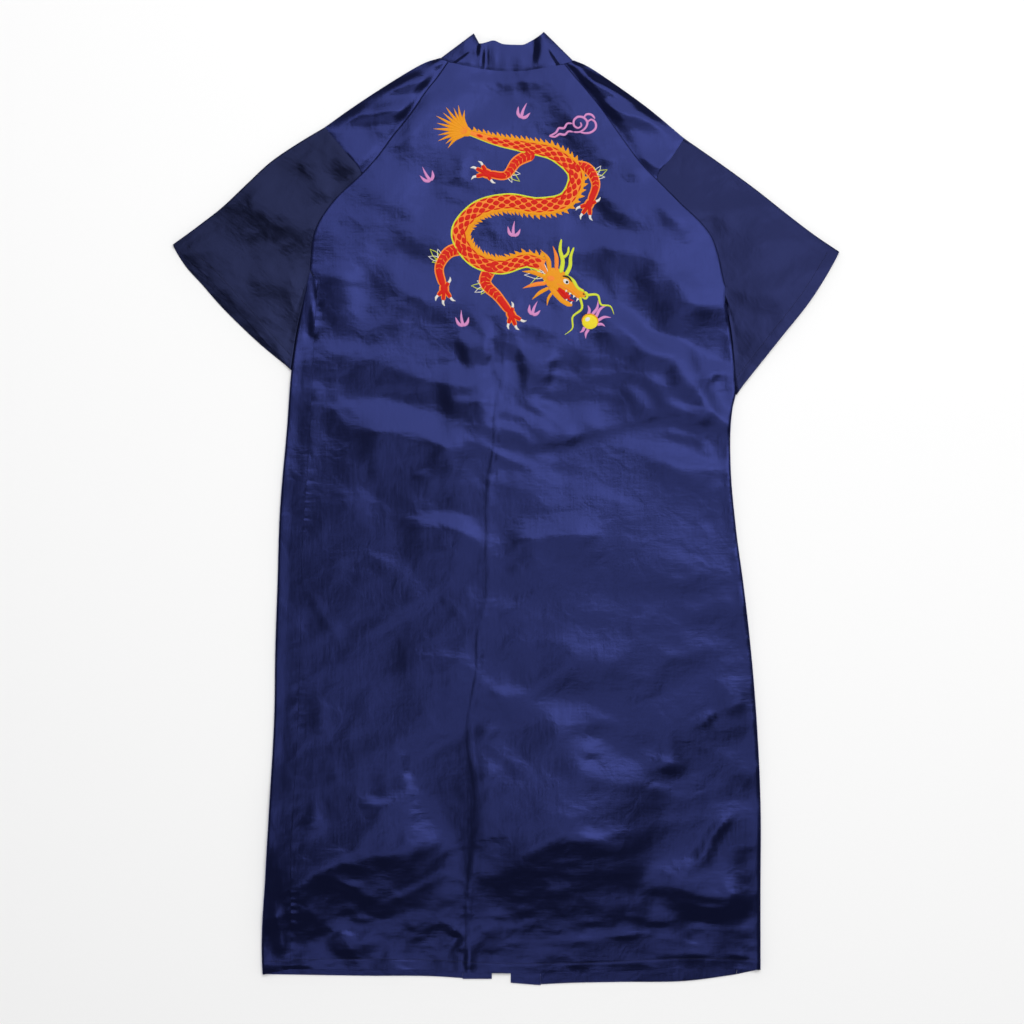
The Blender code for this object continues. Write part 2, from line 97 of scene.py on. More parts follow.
# Hems, as (across, up).
backHem = ((-274, 21), (-100, 20), (-20, 16), (120, 17), (230, 22), (323, 20))
leftFrontHem = ((-309, 14), (-180, 12), (-84, 11), (-55, 9))
rightFrontHem = ((44, 1), (70, 2.5), (137, 4), (234, 6), (294, 14))

# The neckband's sewn and free edges, as (across, up), from the left front's hem over the back of
# the neck to the right front's hem.
bandSewn = {
    "left": ((-55, 8), (-54, 230), (-53, 450), (-53, 650), (-53, 800), (-55, 880),
             (-60, 950), (-68, 1020), (-77, 1085), (-81, 1135), (-83, 1176.5)),
    "neck": ((-68, 1171), (-52, 1167.5), (-38, 1165), (-22, 1162.5), (-6, 1161),
             (10, 1160.5), (25, 1161), (38, 1163), (52, 1165), (69, 1168)),
    "right": ((85, 1173.5), (83, 1135), (78, 1085), (69, 1020), (61, 950), (54, 880),
              (50, 800), (48, 650), (47, 450), (45, 230), (44, 0)),
}
bandFree = {
    "left": ((-18, 8), (-17, 230), (-16, 450), (-16, 650), (-16, 802), (-18, 885),
             (-23, 960), (-30, 1035), (-36, 1105), (-40, 1160), (-41, 1208)),
    "neck": ((-34, 1195), (-29, 1195.5), (-24, 1197), (-17, 1199), (-4, 1194.5),
             (10, 1193.5), (23, 1194), (31, 1198), (38, 1202), (44, 1206)),
    "right": ((48, 1210), (42, 1160), (36, 1105), (30, 1035), (22, 960), (14, 885),
              (11, 802), (10, 650), (9, 450), (7, 230), (6, 3)),
}

sleeves = {
    "sleeve_left": {
        "side": "L",
        "top": ((-230.1, 1089.1), (-262, 1070), (-300, 1044), (-330, 1016), (-362, 986),
                (-389, 965), (-423, 940)),
        "underarm": ((-243.5, 904), (-249.1, 890), (-263.1, 838), (-272.1, 781)),
        "cuff": ((-423, 940), (-399, 916), (-377, 897), (-354, 872), (-330, 845),
                 (-306, 817), (-273, 781)),
        "underReach": 13,        # the cuff's lower layer shows past the upper one
        "cuffCrowding": 1.3,
        "cuffLift": 2.6,
        "grain": -0.62,
        # painted shade: navy darker than the body's, the left sleeve darker still
        "shadedColours": ("111425", "101323"),
    },
    "sleeve_right": {
        "side": "R",
        "top": ((226.1, 1075.1), (272, 1043), (316, 1011), (359, 977), (392, 952), (423, 931)),
        "underarm": ((276.5, 875), (279.3, 861), (285.7, 823), (289.8, 765), (291.5, 749.5)),
        "cuff": ((423, 931), (385, 870), (347, 821), (291.5, 749.5)),
        "underReach": 2,
        "cuffCrowding": 2.6,
        "cuffLift": 1.2,
        "grain": 0.62,
        # painted shade: navy darker than the body's
        "shadedColours": ("12152c", "11142a"),
    },
}


def ease(share):
    share = np.clip(share, 0.0, 1.0)
    return share * share * (3 - 2 * share)


def fade(distance, reach):
    # 1 at no distance, easing to 0 at this reach
    return 1 - ease(distance / reach)


def bell(distance, reach):
    return np.exp(-(distance / reach) ** 2)


def arch(share):
    return np.sin(np.pi * share)


def readCurve(keys, values, at, corner=None):
    # a smooth curve through values at rising keys, with one sharp corner if given
    keys = np.asarray(keys, float)
    values = np.asarray(values, float)
    at = np.clip(np.asarray(at, float), keys[0], keys[-1])
    steps = np.diff(keys).reshape((-1,) + (1,) * (values.ndim - 1))
    slopes = np.diff(values, axis=0) / steps
    inner = (slopes[:-1] * steps[1:] + slopes[1:] * steps[:-1]) / (steps[:-1] + steps[1:])
    leaving = np.concatenate([slopes[:1], inner, slopes[-1:]])
    arriving = leaving.copy()
    if corner:
        leaving[corner] = slopes[corner]
        arriving[corner] = slopes[corner - 1]
    part = np.clip(np.searchsorted(keys, at, side="right") - 1, 0, len(keys) - 2)
    step = steps[part]
    share = (at - keys[part]).reshape(step.shape) / step
    square = share * share
    cube = square * share
    return (values[part] * (2 * cube - 3 * square + 1)
            + leaving[part] * step * (cube - 2 * square + share)
            + values[part + 1] * (3 * square - 2 * cube)
            + arriving[part + 1] * step * (cube - square))


def readTable(table, at):
    # the second number of a table's rows at values of the first
    rows = sorted(table)
    return readCurve([row[0] for row in rows], [row[1] for row in rows], at)


def lengthsAlong(points):
    # the length of a line of points up to each of them
    return np.concatenate([[0.0], np.cumsum(np.linalg.norm(np.diff(points, axis=0), axis=1))])


def alongLine(points, shares):
    # places at these shares of the length of the smooth line through points
    points = np.asarray(points, float)
    lengths = lengthsAlong(points)
    return readCurve(lengths, points, np.asarray(shares) * lengths[-1])


def unit(vectors):
    return vectors / np.maximum(np.linalg.norm(vectors, axis=-1, keepdims=True), 1e-9)


def heading(angle):
    return np.array([math.cos(angle), math.sin(angle)])


def toLeft(run):
    return np.array([-run[1], run[0]])


def besideLine(line):
    # directions at right angles to a line of points, to its right as it runs
    run = unit(np.gradient(line, axis=0))
    return np.stack([run[:, 1], -run[:, 0]], axis=1)


def fold(height, left, right, *path, taper=3.4, sharp=False):
    return {"height": height, "left": left, "right": right, "path": path, "taper": taper, "sharp": sharp}


def crease(height, left, right, *path, taper=3.4):
    return fold(height, left, right, *path, taper=taper, sharp=True)


# Creases and folds, listed one by one. Each has its height, how far it reaches to the left and to the
# right of its crest as that runs, and the crest's path as (across, up). A crease is a crest between two
# nearly flat faces, and a negative height makes it a valley.
clothFolds = (
    # tension folds that run to the right underarm
    fold(4.0, 13, 22, (70, 892), (117, 856), (154, 831), (174, 813), (192, 804), (207, 801), (217, 793),
         (230, 772), (244, 757), (259, 733), (279, 704)),
    fold(2.1, 9, 8, (196, 824), (207, 818), (220, 811), (232, 795), (244, 778), (254, 772), (263, 775),
         (273, 780), (290, 770), taper=2.2),
    fold(4.0, 42, 24, (95, 960), (151, 933), (177, 918), (193, 895), (210, 871), (226, 848), (245, 825),
         (262, 804)),
    fold(1.4, 12, 14, (152, 798), (186, 764), (219, 730), (232, 723), (260, 727), (281, 703)),
    fold(0.9, 6, 8, (116, 838), (134, 822), (158, 796)),
    fold(1.0, 9, 8, (150, 764), (170, 738), (190, 712)),
    fold(1.3, 16, 14, (176, 930), (206, 908), (236, 876)),
    fold(1.5, 20, 26, (150, 1010), (196, 985), (238, 935)),
    fold(1.2, 14, 18, (96, 1016), (132, 996), (170, 956)),
    # billows under the embroidery
    fold(3.2, 24, 20, (-62, 800), (-40, 806), (-14, 808)),
    fold(1.6, 14, 24, (-86, 778), (-50, 772), (-14, 776)),
    fold(2.2, 20, 30, (12, 784), (40, 786), (66, 782)),
    fold(1.6, 30, 18, (-152, 960), (-100, 940), (-50, 925)),
    fold(1.8, 18, 22, (-215, 935), (-205, 880), (-200, 820)),
    fold(1.0, 9, 14, (-184, 812), (-140, 850), (-99, 897)),
    fold(0.9, 8, 12, (-197, 773), (-150, 812), (-112, 864)),
    fold(1.1, 6, 6, (-52, 1062), (-60, 1014)),
    fold(0.9, 8, 10, (-60, 1152), (-20, 1146), (25, 1147), (58, 1152)),
    fold(1.4, 6, 6, (119, 1042), (155, 1059)),
    fold(1.2, 8, 7, (106, 1070), (138, 1074), (160, 1064), taper=2),
    fold(3.0, 22, 11, (140, 1031), (160, 1032), (184, 1020), taper=2),
    fold(4.0, 30, 14, (176, 1012), (206, 984), (244, 938), taper=2),
    fold(1.8, 26, 15, (110, 985), (150, 978), (190, 948), taper=2),
    fold(3.0, 16, 12, (206, 905), (228, 880), (262, 846), taper=2),
    fold(1.6, 22, 15, (-170, 1000), (-130, 985), (-92, 992), taper=2),
    # folds of the shoulders beside the tucks, and the pinched top of the left side seam
    fold(2.0, 10, 9, (-132, 1051), (-122, 1079), (-96, 1118), (-68, 1130)),
    fold(0.9, 5, 5, (-240, 868), (-244, 845), (-242, 824)),
    fold(-1.5, 3, 2.5, (-233, 866), (-239, 862), (-245, 852), taper=2.4),
    fold(-1.9, 3.5, 4, (-256, 833), (-249, 824), (-237, 817), taper=2.4),
    # soft folds of the sleeves
    fold(1.9, 12, 26, (-247, 1062), (-243, 1030), (-221, 992)),
    fold(1.1, 30, 16, (-330, 898), (-295, 893), (-255, 880)),
    fold(1.0, 26, 26, (-300, 1030), (-318, 985), (-352, 940)),
    fold(1.1, 26, 22, (318, 1000), (324, 930), (332, 840)),
    fold(0.9, 18, 22, (268, 1035), (276, 985), (292, 940)),
    # where the robe was folded for storage
    crease(-0.9, 13, 34, (-207, 747), (-112, 751), (-10, 746)),
    crease(2.6, 30, 62, (-88, 740), (-50, 741), (-12, 739)),
    crease(-1.8, 34, 48, (17, 740), (105, 740), (166, 745)),
    crease(3.6, 40, 80, (-218, 690), (-173, 703), (-105, 686), (-14, 669)),
    crease(-2.2, 14, 95, (7, 671), (51, 675), (132, 693), (213, 713)),
    crease(2.2, 22, 62, (-139, 576), (-78, 580), (-24, 566)),
    crease(2.6, 30, 62, (-7, 563), (78, 570), (132, 576)),
    fold(1.3, 14, 10, (-112, 655), (-100, 640), (-84, 636)),
    crease(0.6, 12, 6, (-254, 506), (-228, 462), (-200, 426)),
    crease(0.7, 16, 9, (-204, 432), (-140, 470), (-78, 510)),
    crease(0.45, 6, 8, (-88, 498), (-62, 474), (-42, 455)),
    crease(0.6, 10, 8, (-12, 460), (30, 490), (68, 520)),
    fold(1.6, 30, 40, (-150, 395), (-90, 402), (-30, 396)),
    fold(1.2, 30, 26, (40, 420), (110, 408), (180, 420)),
    # folds above the hem
    crease(8.4, 150, 78, (-330, 104), (-271, 124), (-234, 147), (-186, 160), (-139, 169), (-98, 175),
           (-62, 190), taper=4),
    crease(0.6, 4, 22, (-178, 92), (-151, 106), (-125, 118), (-81, 139)),
    fold(2.0, 8, 14, (-300, 110), (-285, 60), (-284, 30)),
    crease(10.8, 175, 112, (-41, 104), (-17, 133), (10, 157), (44, 179), (71, 191), (105, 185),
           (159, 196), (208, 192), taper=2.6),
    crease(5.0, 66, 34, (193, 158), (210, 133), (240, 118), (278, 113), (322, 126)),
    crease(1.0, 7, 9, (52, 150), (76, 96), (98, 40)),
    crease(1.2, 9, 7, (193, 152), (168, 100), (146, 42)),
    crease(2.0, 5, 9, (244, 146), (261, 190), (288, 221)),
    crease(1.2, 6, 8, (-66, 40), (-54, 62), (-82, 76)),
    fold(1.4, 12, 16, (-230, 68), (-190, 52), (-160, 60)),
    fold(1.1, 18, 15, (-30, 262), (-27, 200), (-40, 120), (-46, 70)),
    fold(2.4, 44, 13, (178, 290), (206, 282), (232, 286), taper=2),
    crease(1.6, 5, 4, (244, 326), (256, 340), (268, 350)),
    fold(2.0, 34, 12, (256, 352), (285, 357), (314, 350), taper=2),
    fold(1.3, 18, 7, (-44, 306), (-24, 318), (-4, 340), taper=2),
    fold(1.5, 18, 7, (-44, 250), (-24, 264), (-4, 286), taper=2),
    fold(1.3, 30, 9, (-262, 334), (-236, 329), (-208, 338), taper=2),
    fold(1.2, 30, 12, (-180, 236), (-160, 230), (-120, 236), taper=2),
    fold(1.4, 20, 9, (-262, 210), (-246, 206), (-226, 212), taper=2),
)

satinUndulation = {
    "seed": 11,
    "bands": (   # waves, wavelength across, wavelength up, height
        (9, 260, 165, 0.85),
        (12, 140, 90, 0.26),
    ),
    "creases": (   # width across, width up, turn, height, seed: crumpled patches with sharp ridges
        (125, 84, 0.3, 1.2, 3.1),
        (64, 46, -0.5, 0.6, 8.4),
        (30, 24, 0.5, 0.3, 14.7),
        (17, 15, -0.2, 0.14, 22.3),
    ),
    "ridge": (0.28, 0.015),       # half width and roundness of a crease, in the noise's own units
    "patch": (1.5, 1.9),          # size of a crumpled patch, across and up, against its creases
    "calm": (230, 620, 0.75),     # between these heights up the robe the waves are this much as high
    "hemCrumple": (150, 0.8),     # below this height the creases are higher by this share
    "hemWaves": (240, 0.5),       # and below this one the waves are lower by this share
    "warp": 26,
    "loft": 1.9,
}
storedCrease = {"top": 905, "strongBelow": 860, "ridge": 1.9, "slopes": 34}
puckers = {   # height, pitch, reach away from the stitches, and seed
    "sideSeam": (0.6, 11.5, 8, 2.0),
    "shoulderFold": (0.3, 9, 8, 4.0),
    "hem": (0.35, 17, 13, 5.0),
    "armhole": (0.35, 15, 12, 1.0),
    "sleeveTop": (0.35, 15, 16, 1.0),
}


def foldRise(shape, across, up):
    # the height that one fold gives to these places
    path = alongLine(shape["path"], np.linspace(0, 1, 6 * len(shape["path"])))
    reach = 2.6 * max(shape["left"], shape["right"])
    low = path.min(axis=0) - reach
    high = path.max(axis=0) + reach
    near = (across > low[0]) & (across < high[0]) & (up > low[1]) & (up < high[1])
    places = np.stack([across[near], up[near]], axis=1)
    best = np.full(len(places), 1e9)
    side = np.zeros(len(places))
    share = np.zeros(len(places))
    for number, (start, end) in enumerate(zip(path[:-1], path[1:])):
        run = end - start
        offset = places - start
        part = np.clip(offset @ run / np.linalg.norm(run) ** 2, 0, 1)
        distance = np.linalg.norm(offset - part[:, None] * run, axis=1)
        closer = distance < best
        best = np.where(closer, distance, best)
        side = np.where(closer, run[0] * offset[:, 1] - run[1] * offset[:, 0], side)
        share = np.where(closer, (number + part) / (len(path) - 1), share)
    width = np.where(side > 0, shape["left"], shape["right"])
    profile = bell(best, width)
    if shape["sharp"]:
        profile = np.clip(1 - (np.sqrt(best ** 2 + 4) - 2) / width, 0, 1) ** 1.15
    ends = ease(share * shape["taper"]) * ease((1 - share) * shape["taper"])
    rise = np.zeros(across.shape)
    rise[near] = shape["height"] * profile * ends
    return rise


def noiseField(across, up, wideAcross, wideUp, turn, seed):
    x = (across * math.cos(turn) + up * math.sin(turn)) / wideAcross
    y = (up * math.cos(turn) - across * math.sin(turn)) / wideUp
    values = [noise.noise(Vector((a, b, seed))) for a, b in zip(x.ravel(), y.ravel())]
    return np.array(values).reshape(across.shape)


def crumpled(across, up):
    # patches of creases with a sharp ridge each, and smooth cloth in between
    width, roundness = satinUndulation["ridge"]
    patchAcross, patchUp = satinUndulation["patch"]
    rise = np.zeros(across.shape)
    for wideAcross, wideUp, turn, height, seed in satinUndulation["creases"]:
        ridge = noiseField(across, up, wideAcross, wideUp, turn, seed)
        patch = noiseField(across, up, wideAcross * patchAcross, wideUp * patchUp, -turn, seed + 31)
        sharp = 1 - np.sqrt((ridge / width) ** 2 + roundness)
        rise += height * np.maximum(sharp, -0.5) * ease(0.45 + 1.6 * patch)
    return rise


def undulation(across, up, seed):
    # long smooth waves, warped so that none runs straight
    draw = np.random.default_rng(seed)
    warpA = satinUndulation["warp"] * np.sin(up / 83 + 1.3) * np.cos(across / 121 + 0.4)
    warpB = satinUndulation["warp"] * np.sin(across / 97 + 2.1) * np.cos(up / 143)
    rise = np.zeros(across.shape)
    for count, wideAcross, wideUp, height in satinUndulation["bands"]:
        for _ in range(count):
            turn = draw.normal(0, 0.35)
            size = draw.uniform(0.7, 1.4)
            alongA = (across + warpA) / (wideAcross * size)
            alongB = (up + warpB) / (wideUp * size)
            phase = 2 * math.pi * (alongA * (1 + turn) + alongB * (1 - turn) * draw.choice([-1, 1]))
            wave = np.sin(phase + draw.uniform(0, 6.28))
            rise += height * wave * draw.uniform(0.5, 1.2) / math.sqrt(count)
    return rise


def creaseRise(across, up):
    # the sharp fold down the middle, in which the robe was kept
    away = across - readTable(centreCrease, up)
    strength = 0.45 + 0.55 * ease((storedCrease["strongBelow"] - up) / 120)
    line = 0.3 + 0.16 * np.sin(up / 47) + 0.14 * np.sin(up / 21 + 1)
    slopes = 0.9 * np.exp(-np.abs(away) / storedCrease["slopes"])
    section = line * bell(away, storedCrease["ridge"]) + slopes
    return strength * ease((storedCrease["top"] - up) / 60) * section


def clothHeight(across, up):
    low, high, share = satinUndulation["calm"]
    calm = 1 - (1 - share) * ease((up - low + 60) / 90) * ease((high + 60 - up) / 120)
    crumpleTop, more = satinUndulation["hemCrumple"]
    wavesTop, less = satinUndulation["hemWaves"]
    waves = undulation(across, up, satinUndulation["seed"]) * (1 - less * ease((wavesTop - up) / 80))
    waves = waves + crumpled(across, up) * (1 + more * ease((crumpleTop - up) / 80))
    rise = satinUndulation["loft"] + calm * waves + creaseRise(across, up)
    for shape in clothFolds:
        rise = rise + foldRise(shape, across, up)
    return 0.5 * (rise + np.sqrt(rise ** 2 + 0.3))     # the cloth can't sink into the layer below


def lowHeight(across, up):
    # the fronts lie on the surface, with low creases of their own
    rise = 0.25 + 0.4 * undulation(across * 1.2 + 400, up * 1.1, satinUndulation["seed"] + 5)
    return np.clip(rise, 0, 0.55)


def seamPuckers(kind, along, away):
    # short ridges that a line of stitches draws up beside it
    height, pitch, reach, seed = puckers[kind]
    wander = 2.6 * np.sin(along / 31 + seed) + 1.9 * np.sin(along / 13.3 + 2 * seed)
    strength = 0.3 + 0.4 * np.sin(along / 43 + 3 * seed) + 0.4 * np.sin(along / 19.7 + seed)
    ridges = np.sin(2 * math.pi * along / pitch + wander)
    return height * (np.clip(strength, 0, 1) * bell(away, reach) * ridges)


def seamDip(away):
    # the line that a seam presses into the cloth
    return robe["seamDip"] * bell(away, 1.3)


def turnAround(edge, outwards, high, low):
    # rows of points round a fold that reaches the line of points edge, as (row, angle, xyz)
    angles = np.linspace(0, math.pi, robe["turnPoints"])
    bulge = robe["turnReach"] * np.sin(angles)
    place = (edge - outwards * cover)[:, None, :] + outwards[:, None, :] * bulge[None, :, None]
    high = np.broadcast_to(high, len(edge))[:, None]
    low = np.broadcast_to(low, len(edge))[:, None]
    height = (high + low) / 2 + (high - low) / 2 * np.cos(angles)[None, :]
    return np.concatenate([place, height[:, :, None]], axis=2)


def partWay(start, end, shares):
    # points at these shares of the way from each point of a line to that of another
    return start[:, None, :] + (end - start)[:, None, :] * shares[..., None]


def between(start, end, count):
    # count points at even steps strictly between the two lines
    return partWay(start, end, (np.arange(count) + 1) / (count + 1))


def apart(first, second):
    return np.linalg.norm(first - second, axis=-1)


def withHeight(places, height):
    return np.concatenate([places, np.broadcast_to(height, places.shape[:-1])[..., None]], axis=-1)


def stitchedGrid(grid, firstVertex=0, closed=False, mirrored=False, firstColumn=None):
    # the vertices and faces of a grid of points, carrying on from a column of vertices if given
    rows, columns = grid.shape[:2]
    numbers = firstVertex + np.arange(rows * columns).reshape(rows, columns)
    if firstColumn is not None:
        numbers = np.concatenate([np.asarray(firstColumn)[:, None], numbers], axis=1)
    if closed:
        numbers = np.concatenate([numbers, numbers[:, :1]], axis=1)
    corners = [numbers[:-1, :-1], numbers[1:, :-1], numbers[1:, 1:], numbers[:-1, 1:]]
    if mirrored:
        corners = corners[::-1]
    faces = np.stack(corners, axis=-1).reshape(-1, 4)
    return grid.reshape(-1, 3), faces, numbers


def carryOn(parts, grid, firstColumn, mirrored=False):
    # adds a grid that is joined to a column of vertices of an earlier one
    firstVertex = sum(len(part[0]) for part in parts)
    parts.append(stitchedGrid(grid, firstVertex, mirrored=mirrored, firstColumn=firstColumn))


def toRobeFrame(points):
    # millimetres across and up to metres in the robe's own frame
    moved = np.array(points, float)
    moved[:, 1] -= robe["length"] / 2
    return moved / 1000


def addMesh(name, points, faces):
    mesh = bpy.data.meshes.new(name)
    mesh.from_pydata(toRobeFrame(points).tolist(), [], [list(map(int, face)) for face in faces])
    mesh.validate()
    piece = bpy.data.objects.new(name, mesh)
    bpy.context.scene.collection.objects.link(piece)
    mesh.shade_smooth()
    return piece


def selectOnly(piece):
    bpy.ops.object.select_all(action="DESELECT")
    bpy.context.view_layer.objects.active = piece
    piece.select_set(True)


def addGrain(piece, perVertex):
    # a UV map in metres, U across the threads and V along them
    corners = np.empty(len(piece.data.loops), int)
    piece.data.loops.foreach_get("vertex_index", corners)
    piece.data.uv_layers.new(name="grain").data.foreach_set("uv", perVertex[corners].ravel())


def addSheet(name, parts, thickness=robe["cloth"], grain=0.0):
    # a sheet of cloth from the grids of its middle surface, its threads turned by the angle grain
    points, faces, _ = zip(*parts)
    piece = addMesh(name, np.concatenate(points), np.concatenate(faces))
    place = np.array([vertex.co for vertex in piece.data.vertices])
    u = place[:, 0] * math.cos(grain) + place[:, 1] * math.sin(grain) - 0.3 * place[:, 2]
    v = place[:, 1] * math.cos(grain) - place[:, 0] * math.sin(grain) - 0.3 * place[:, 2]
    addGrain(piece, np.stack([u, v], axis=1))
    wall = piece.modifiers.new("cloth", "SOLIDIFY")
    wall.thickness = thickness / 1000
    wall.offset = 0
    selectOnly(piece)
    bpy.ops.object.modifier_apply(modifier="cloth")
    piece.select_set(False)
    piece.data.set_sharp_from_angle(angle=math.radians(52))     # the cut edges stay crisp
    print(name, "made with", len(piece.data.polygons), "faces")
    return piece


backGrid = {
    "tuckRows": 82,      # so that one row meets the shoulder's corner
    "bodyRows": 262,
    "columns": 100,
    "finerEnds": 0.38,
    "hemCrowding": 1.15,
}


def tuckLines(rows):
    # the smooth lines of the tuck table at evenly spaced rows
    keys = np.arange(lastTuckRow + 1)
    at = np.linspace(0, lastTuckRow, rows)
    return {name: readCurve(keys, points, at, shoulderCorner if name.startswith("outer") else None)
            for name, points in tuckRows.items()}


def bodyShares(rows):
    # how far down the body each row lies, closer together near the hem
    left = (1 - np.linspace(0, 1, rows)) ** backGrid["hemCrowding"]
    return 1 - left * (1 - (1 - left) ** 6)


def longEdge(table, top, hem, rows):
    # the points of an edge below the underarm, one for each row of the body
    up = top + (hem - top) * bodyShares(rows)
    return np.stack([readTable(table, up), up], axis=1)


def leftSeamLine(rows):
    return longEdge(leftSeam, leftSeam[0][0], backHem[0][1], rows)


def rightSeamLine(rows):
    return longEdge(rightFold, rightFold[0][0] + 2, rightFrontHem[-1][1], rows) - (robe["wrapUnder"], 0)


def bendToHem(body, hem):
    # bends the rows of points near the hem to its curve
    body[:, :, 1] += (bodyShares(len(body))[:, None] ** robe["hemBend"]
                      * (readTable(hem, body[-1, :, 0]) - body[-1, :, 1]))


def rowShares(start, end):
    # places along each row, finer at both ends and beside the centre crease
    half = backGrid["columns"] // 2
    even = np.linspace(0, 1, half + 1)
    finer = even - backGrid["finerEnds"] * np.sin(2 * np.pi * even) / (2 * np.pi)
    middle = readTable(centreCrease, (start[:, 1] + end[:, 1]) / 2)
    middle = np.clip((middle - start[:, 0]) / (end[:, 0] - start[:, 0]), 0.2, 0.8)
    leftHalf = middle[:, None] * finer[None, :]
    rightHalf = middle[:, None] + (1 - middle[:, None]) * finer[None, 1:]
    return np.concatenate([leftHalf, rightHalf], axis=1)


hemFold = {"double": 0.1, "pressed": 0.12}
underarm = {"across": -226, "top": 908, "reach": 70, "rise": 3.6}
underTuck = {"flat": 20, "down": 34}     # how far the right tuck's end lifts the edge below it
tuck = {
    "hiddenColumns": 3,
    "shownColumns": 17,
    "appears": 14,       # reach over which its folds begin where it comes out of the showing fold
    "cloth": 0.75,       # height of its folds against those of the back
    "closes": 9,         # they die out this near to the shoulder's edge
}


def hemLift(above):
    # the turned-up hem is double, and its stitches press it down
    fromStitches = above - robe["hemDepth"]
    return hemFold["double"] * fade(fromStitches + 4, 8) - hemFold["pressed"] * bell(fromStitches, 1.2)


def underarmRise(across, up):
    # the cloth comes down slowly from the left tuck to the side seam
    below = np.clip(underarm["top"] - up, 0, 200)
    fades = fade(across - underarm["across"], robe["tuckSlope"])
    return underarm["rise"] * fade(below, underarm["reach"]) * ease(below / 3) * fades


def backTop(across, up, lift, stitched):
    # the height of the robe's top layer where folds lift it this much
    height = robe["backLevel"] + lift + clothHeight(across, up) * (1 - 0.5 * np.clip(lift / 4.4, 0, 1))
    awayFromSeam = across - readTable(leftSeam, np.clip(up, 20, 891))
    joined = ease((905 - up) / 25) * stitched
    return height + joined * seamPuckers("sideSeam", up, awayFromSeam) + underarmRise(across, up)


def upperBack(lines, outwards):
    # the back between the shoulder folds, lifted towards them by the layers below
    start = lines["foldL"] - outwards["L"] * cover
    end = lines["foldR"] - outwards["R"] * cover
    shares = rowShares(start, end)
    places = partWay(start, end, shares)
    straight = lines["foldL"][0, 1] + (lines["foldR"][0, 1] - lines["foldL"][0, 1]) * shares
    curved = readTable(bandSewn["neck"], places[:, :, 0]) - robe["seamGap"]
    places[:, :, 1] += fade(np.linspace(0, lastTuckRow, len(start)), 3)[:, None] * (curved - straight)
    width = apart(end, start)[:, None]
    lift = 0
    for side, away in (("L", width * shares), ("R", width * (1 - shares))):
        flat = apart(lines["fold" + side], lines["turn" + side]) + 3
        lift = np.maximum(lift, fade(away - flat[:, None], robe["tuckSlope"]))
    across = places[:, :, 0]
    up = places[:, :, 1]
    pucker = seamPuckers("shoulderFold", up, width * np.minimum(shares, 1 - shares))
    pucker = pucker * ease((1050 - up) / 50)      # only along the lower half of each fold
    return withHeight(places, backTop(across, up, 2 * layerStep * lift, 0) + pucker)


def lowerBack(edge):
    # the back below the underarm, from the left side seam to the fold at the right
    seam = leftSeamLine(len(edge)) + (robe["seamGap"] / 2, 0)
    end = edge - (cover, 0)
    shares = rowShares(seam, end)
    places = partWay(seam, end, shares)
    bendToHem(places, backHem)
    across = places[:, :, 0]
    up = places[:, :, 1]
    fromEdge = apart(end, seam)[:, None] * (1 - shares)
    edgeLift = robe["edgeLift"] * fade(fromEdge, robe["edgeRoll"])
    cornerLift = 2 * layerStep * fade(fromEdge - underTuck["flat"], robe["tuckSlope"])
    corner = fade((rightFold[0][0] - edge[:, 1])[:, None], underTuck["down"])
    height = backTop(across, up, edgeLift + (cornerLift - edgeLift) * corner, 1)
    above = up - readTable(backHem, across)
    height = height + hemLift(above) + seamPuckers("hem", across, above - robe["hemDepth"])
    return withHeight(places, height)


def tuckStrip(lines, side, outwards, high):
    # the cloth of a tuck: round the showing fold, under it, round again and out to the shoulder
    showingFold = lines["fold" + side]
    turn = lines["turn" + side]
    outer = lines["outer" + side]
    level = robe["backLevel"]
    around = turnAround(showingFold, outwards, high, level + layerStep)
    inner = turnAround(turn, -outwards, level + layerStep, level)
    last = withHeight(outer, level)
    out = np.concatenate([between(inner[:, -1], last, tuck["shownColumns"]), last[:, None, :]], axis=1)
    beyond = ((out[:, :, :2] - showingFold[:, None, :]) * outwards[:, None, :]).sum(2)
    toEdge = apart(out[:, :, :2], outer[:, None, :])
    down = np.linspace(0, lastTuckRow, len(outer))[:, None]
    armhole = down >= shoulderCorner
    closes = 1 - bell(toEdge, tuck["closes"]) * (1 - armhole)
    uneven = 1 + 0.5 * np.sin(3.7 * down + toEdge / 11)
    rise = clothHeight(out[:, :, 0], out[:, :, 1]) * tuck["cloth"] * closes
    rise = rise + seamPuckers("armhole", outer[:, None, 1], toEdge) * armhole
    rise = rise + robe["shoulderPuff"] * closes * uneven * ease((shoulderCorner - down) / 1.3)
    out[:, :, 2] += ease(beyond / tuck["appears"]) * rise - seamDip(toEdge)
    hidden = between(around[:, -1], inner[:, 0], tuck["hiddenColumns"])
    return np.concatenate([around[:, 1:], hidden, inner, out], axis=1)


def makeBack():
    tucks = backGrid["tuckRows"]
    rows = backGrid["bodyRows"]
    lines = tuckLines(tucks)
    outwards = {side: unit(lines["fold" + side] - lines["turn" + side]) for side in "LR"}
    edge = longEdge(rightFold, rightFold[0][0], rightFold[-1][0], rows)
    grid = np.concatenate([upperBack(lines, outwards), lowerBack(edge)])
    parts = [stitchedGrid(grid)]
    points, faces, numbers = parts[0]
    for side, column in (("L", 0), ("R", -1)):
        strip = tuckStrip(lines, side, outwards[side], grid[:tucks, column, 2])
        carryOn(parts, strip, numbers[:tucks, column], mirrored=side == "L")
    turn = turnAround(edge, np.array([[1.0, 0.0]]), grid[tucks:, -1, 2], robe["frontLevel"])
    inside = withHeight(rightSeamLine(rows) + (robe["seamGap"] / 2, 0), robe["frontLevel"])
    wrap = np.concatenate([turn[:, 1:], between(turn[:, -1], inside, 4), inside[:, None]], axis=1)
    carryOn(parts, wrap, numbers[tucks:, -1])
    surface = BVHTree.FromPolygons([Vector(point) for point in toRobeFrame(points)], faces.tolist())
    return addSheet("back_panel", parts), surface


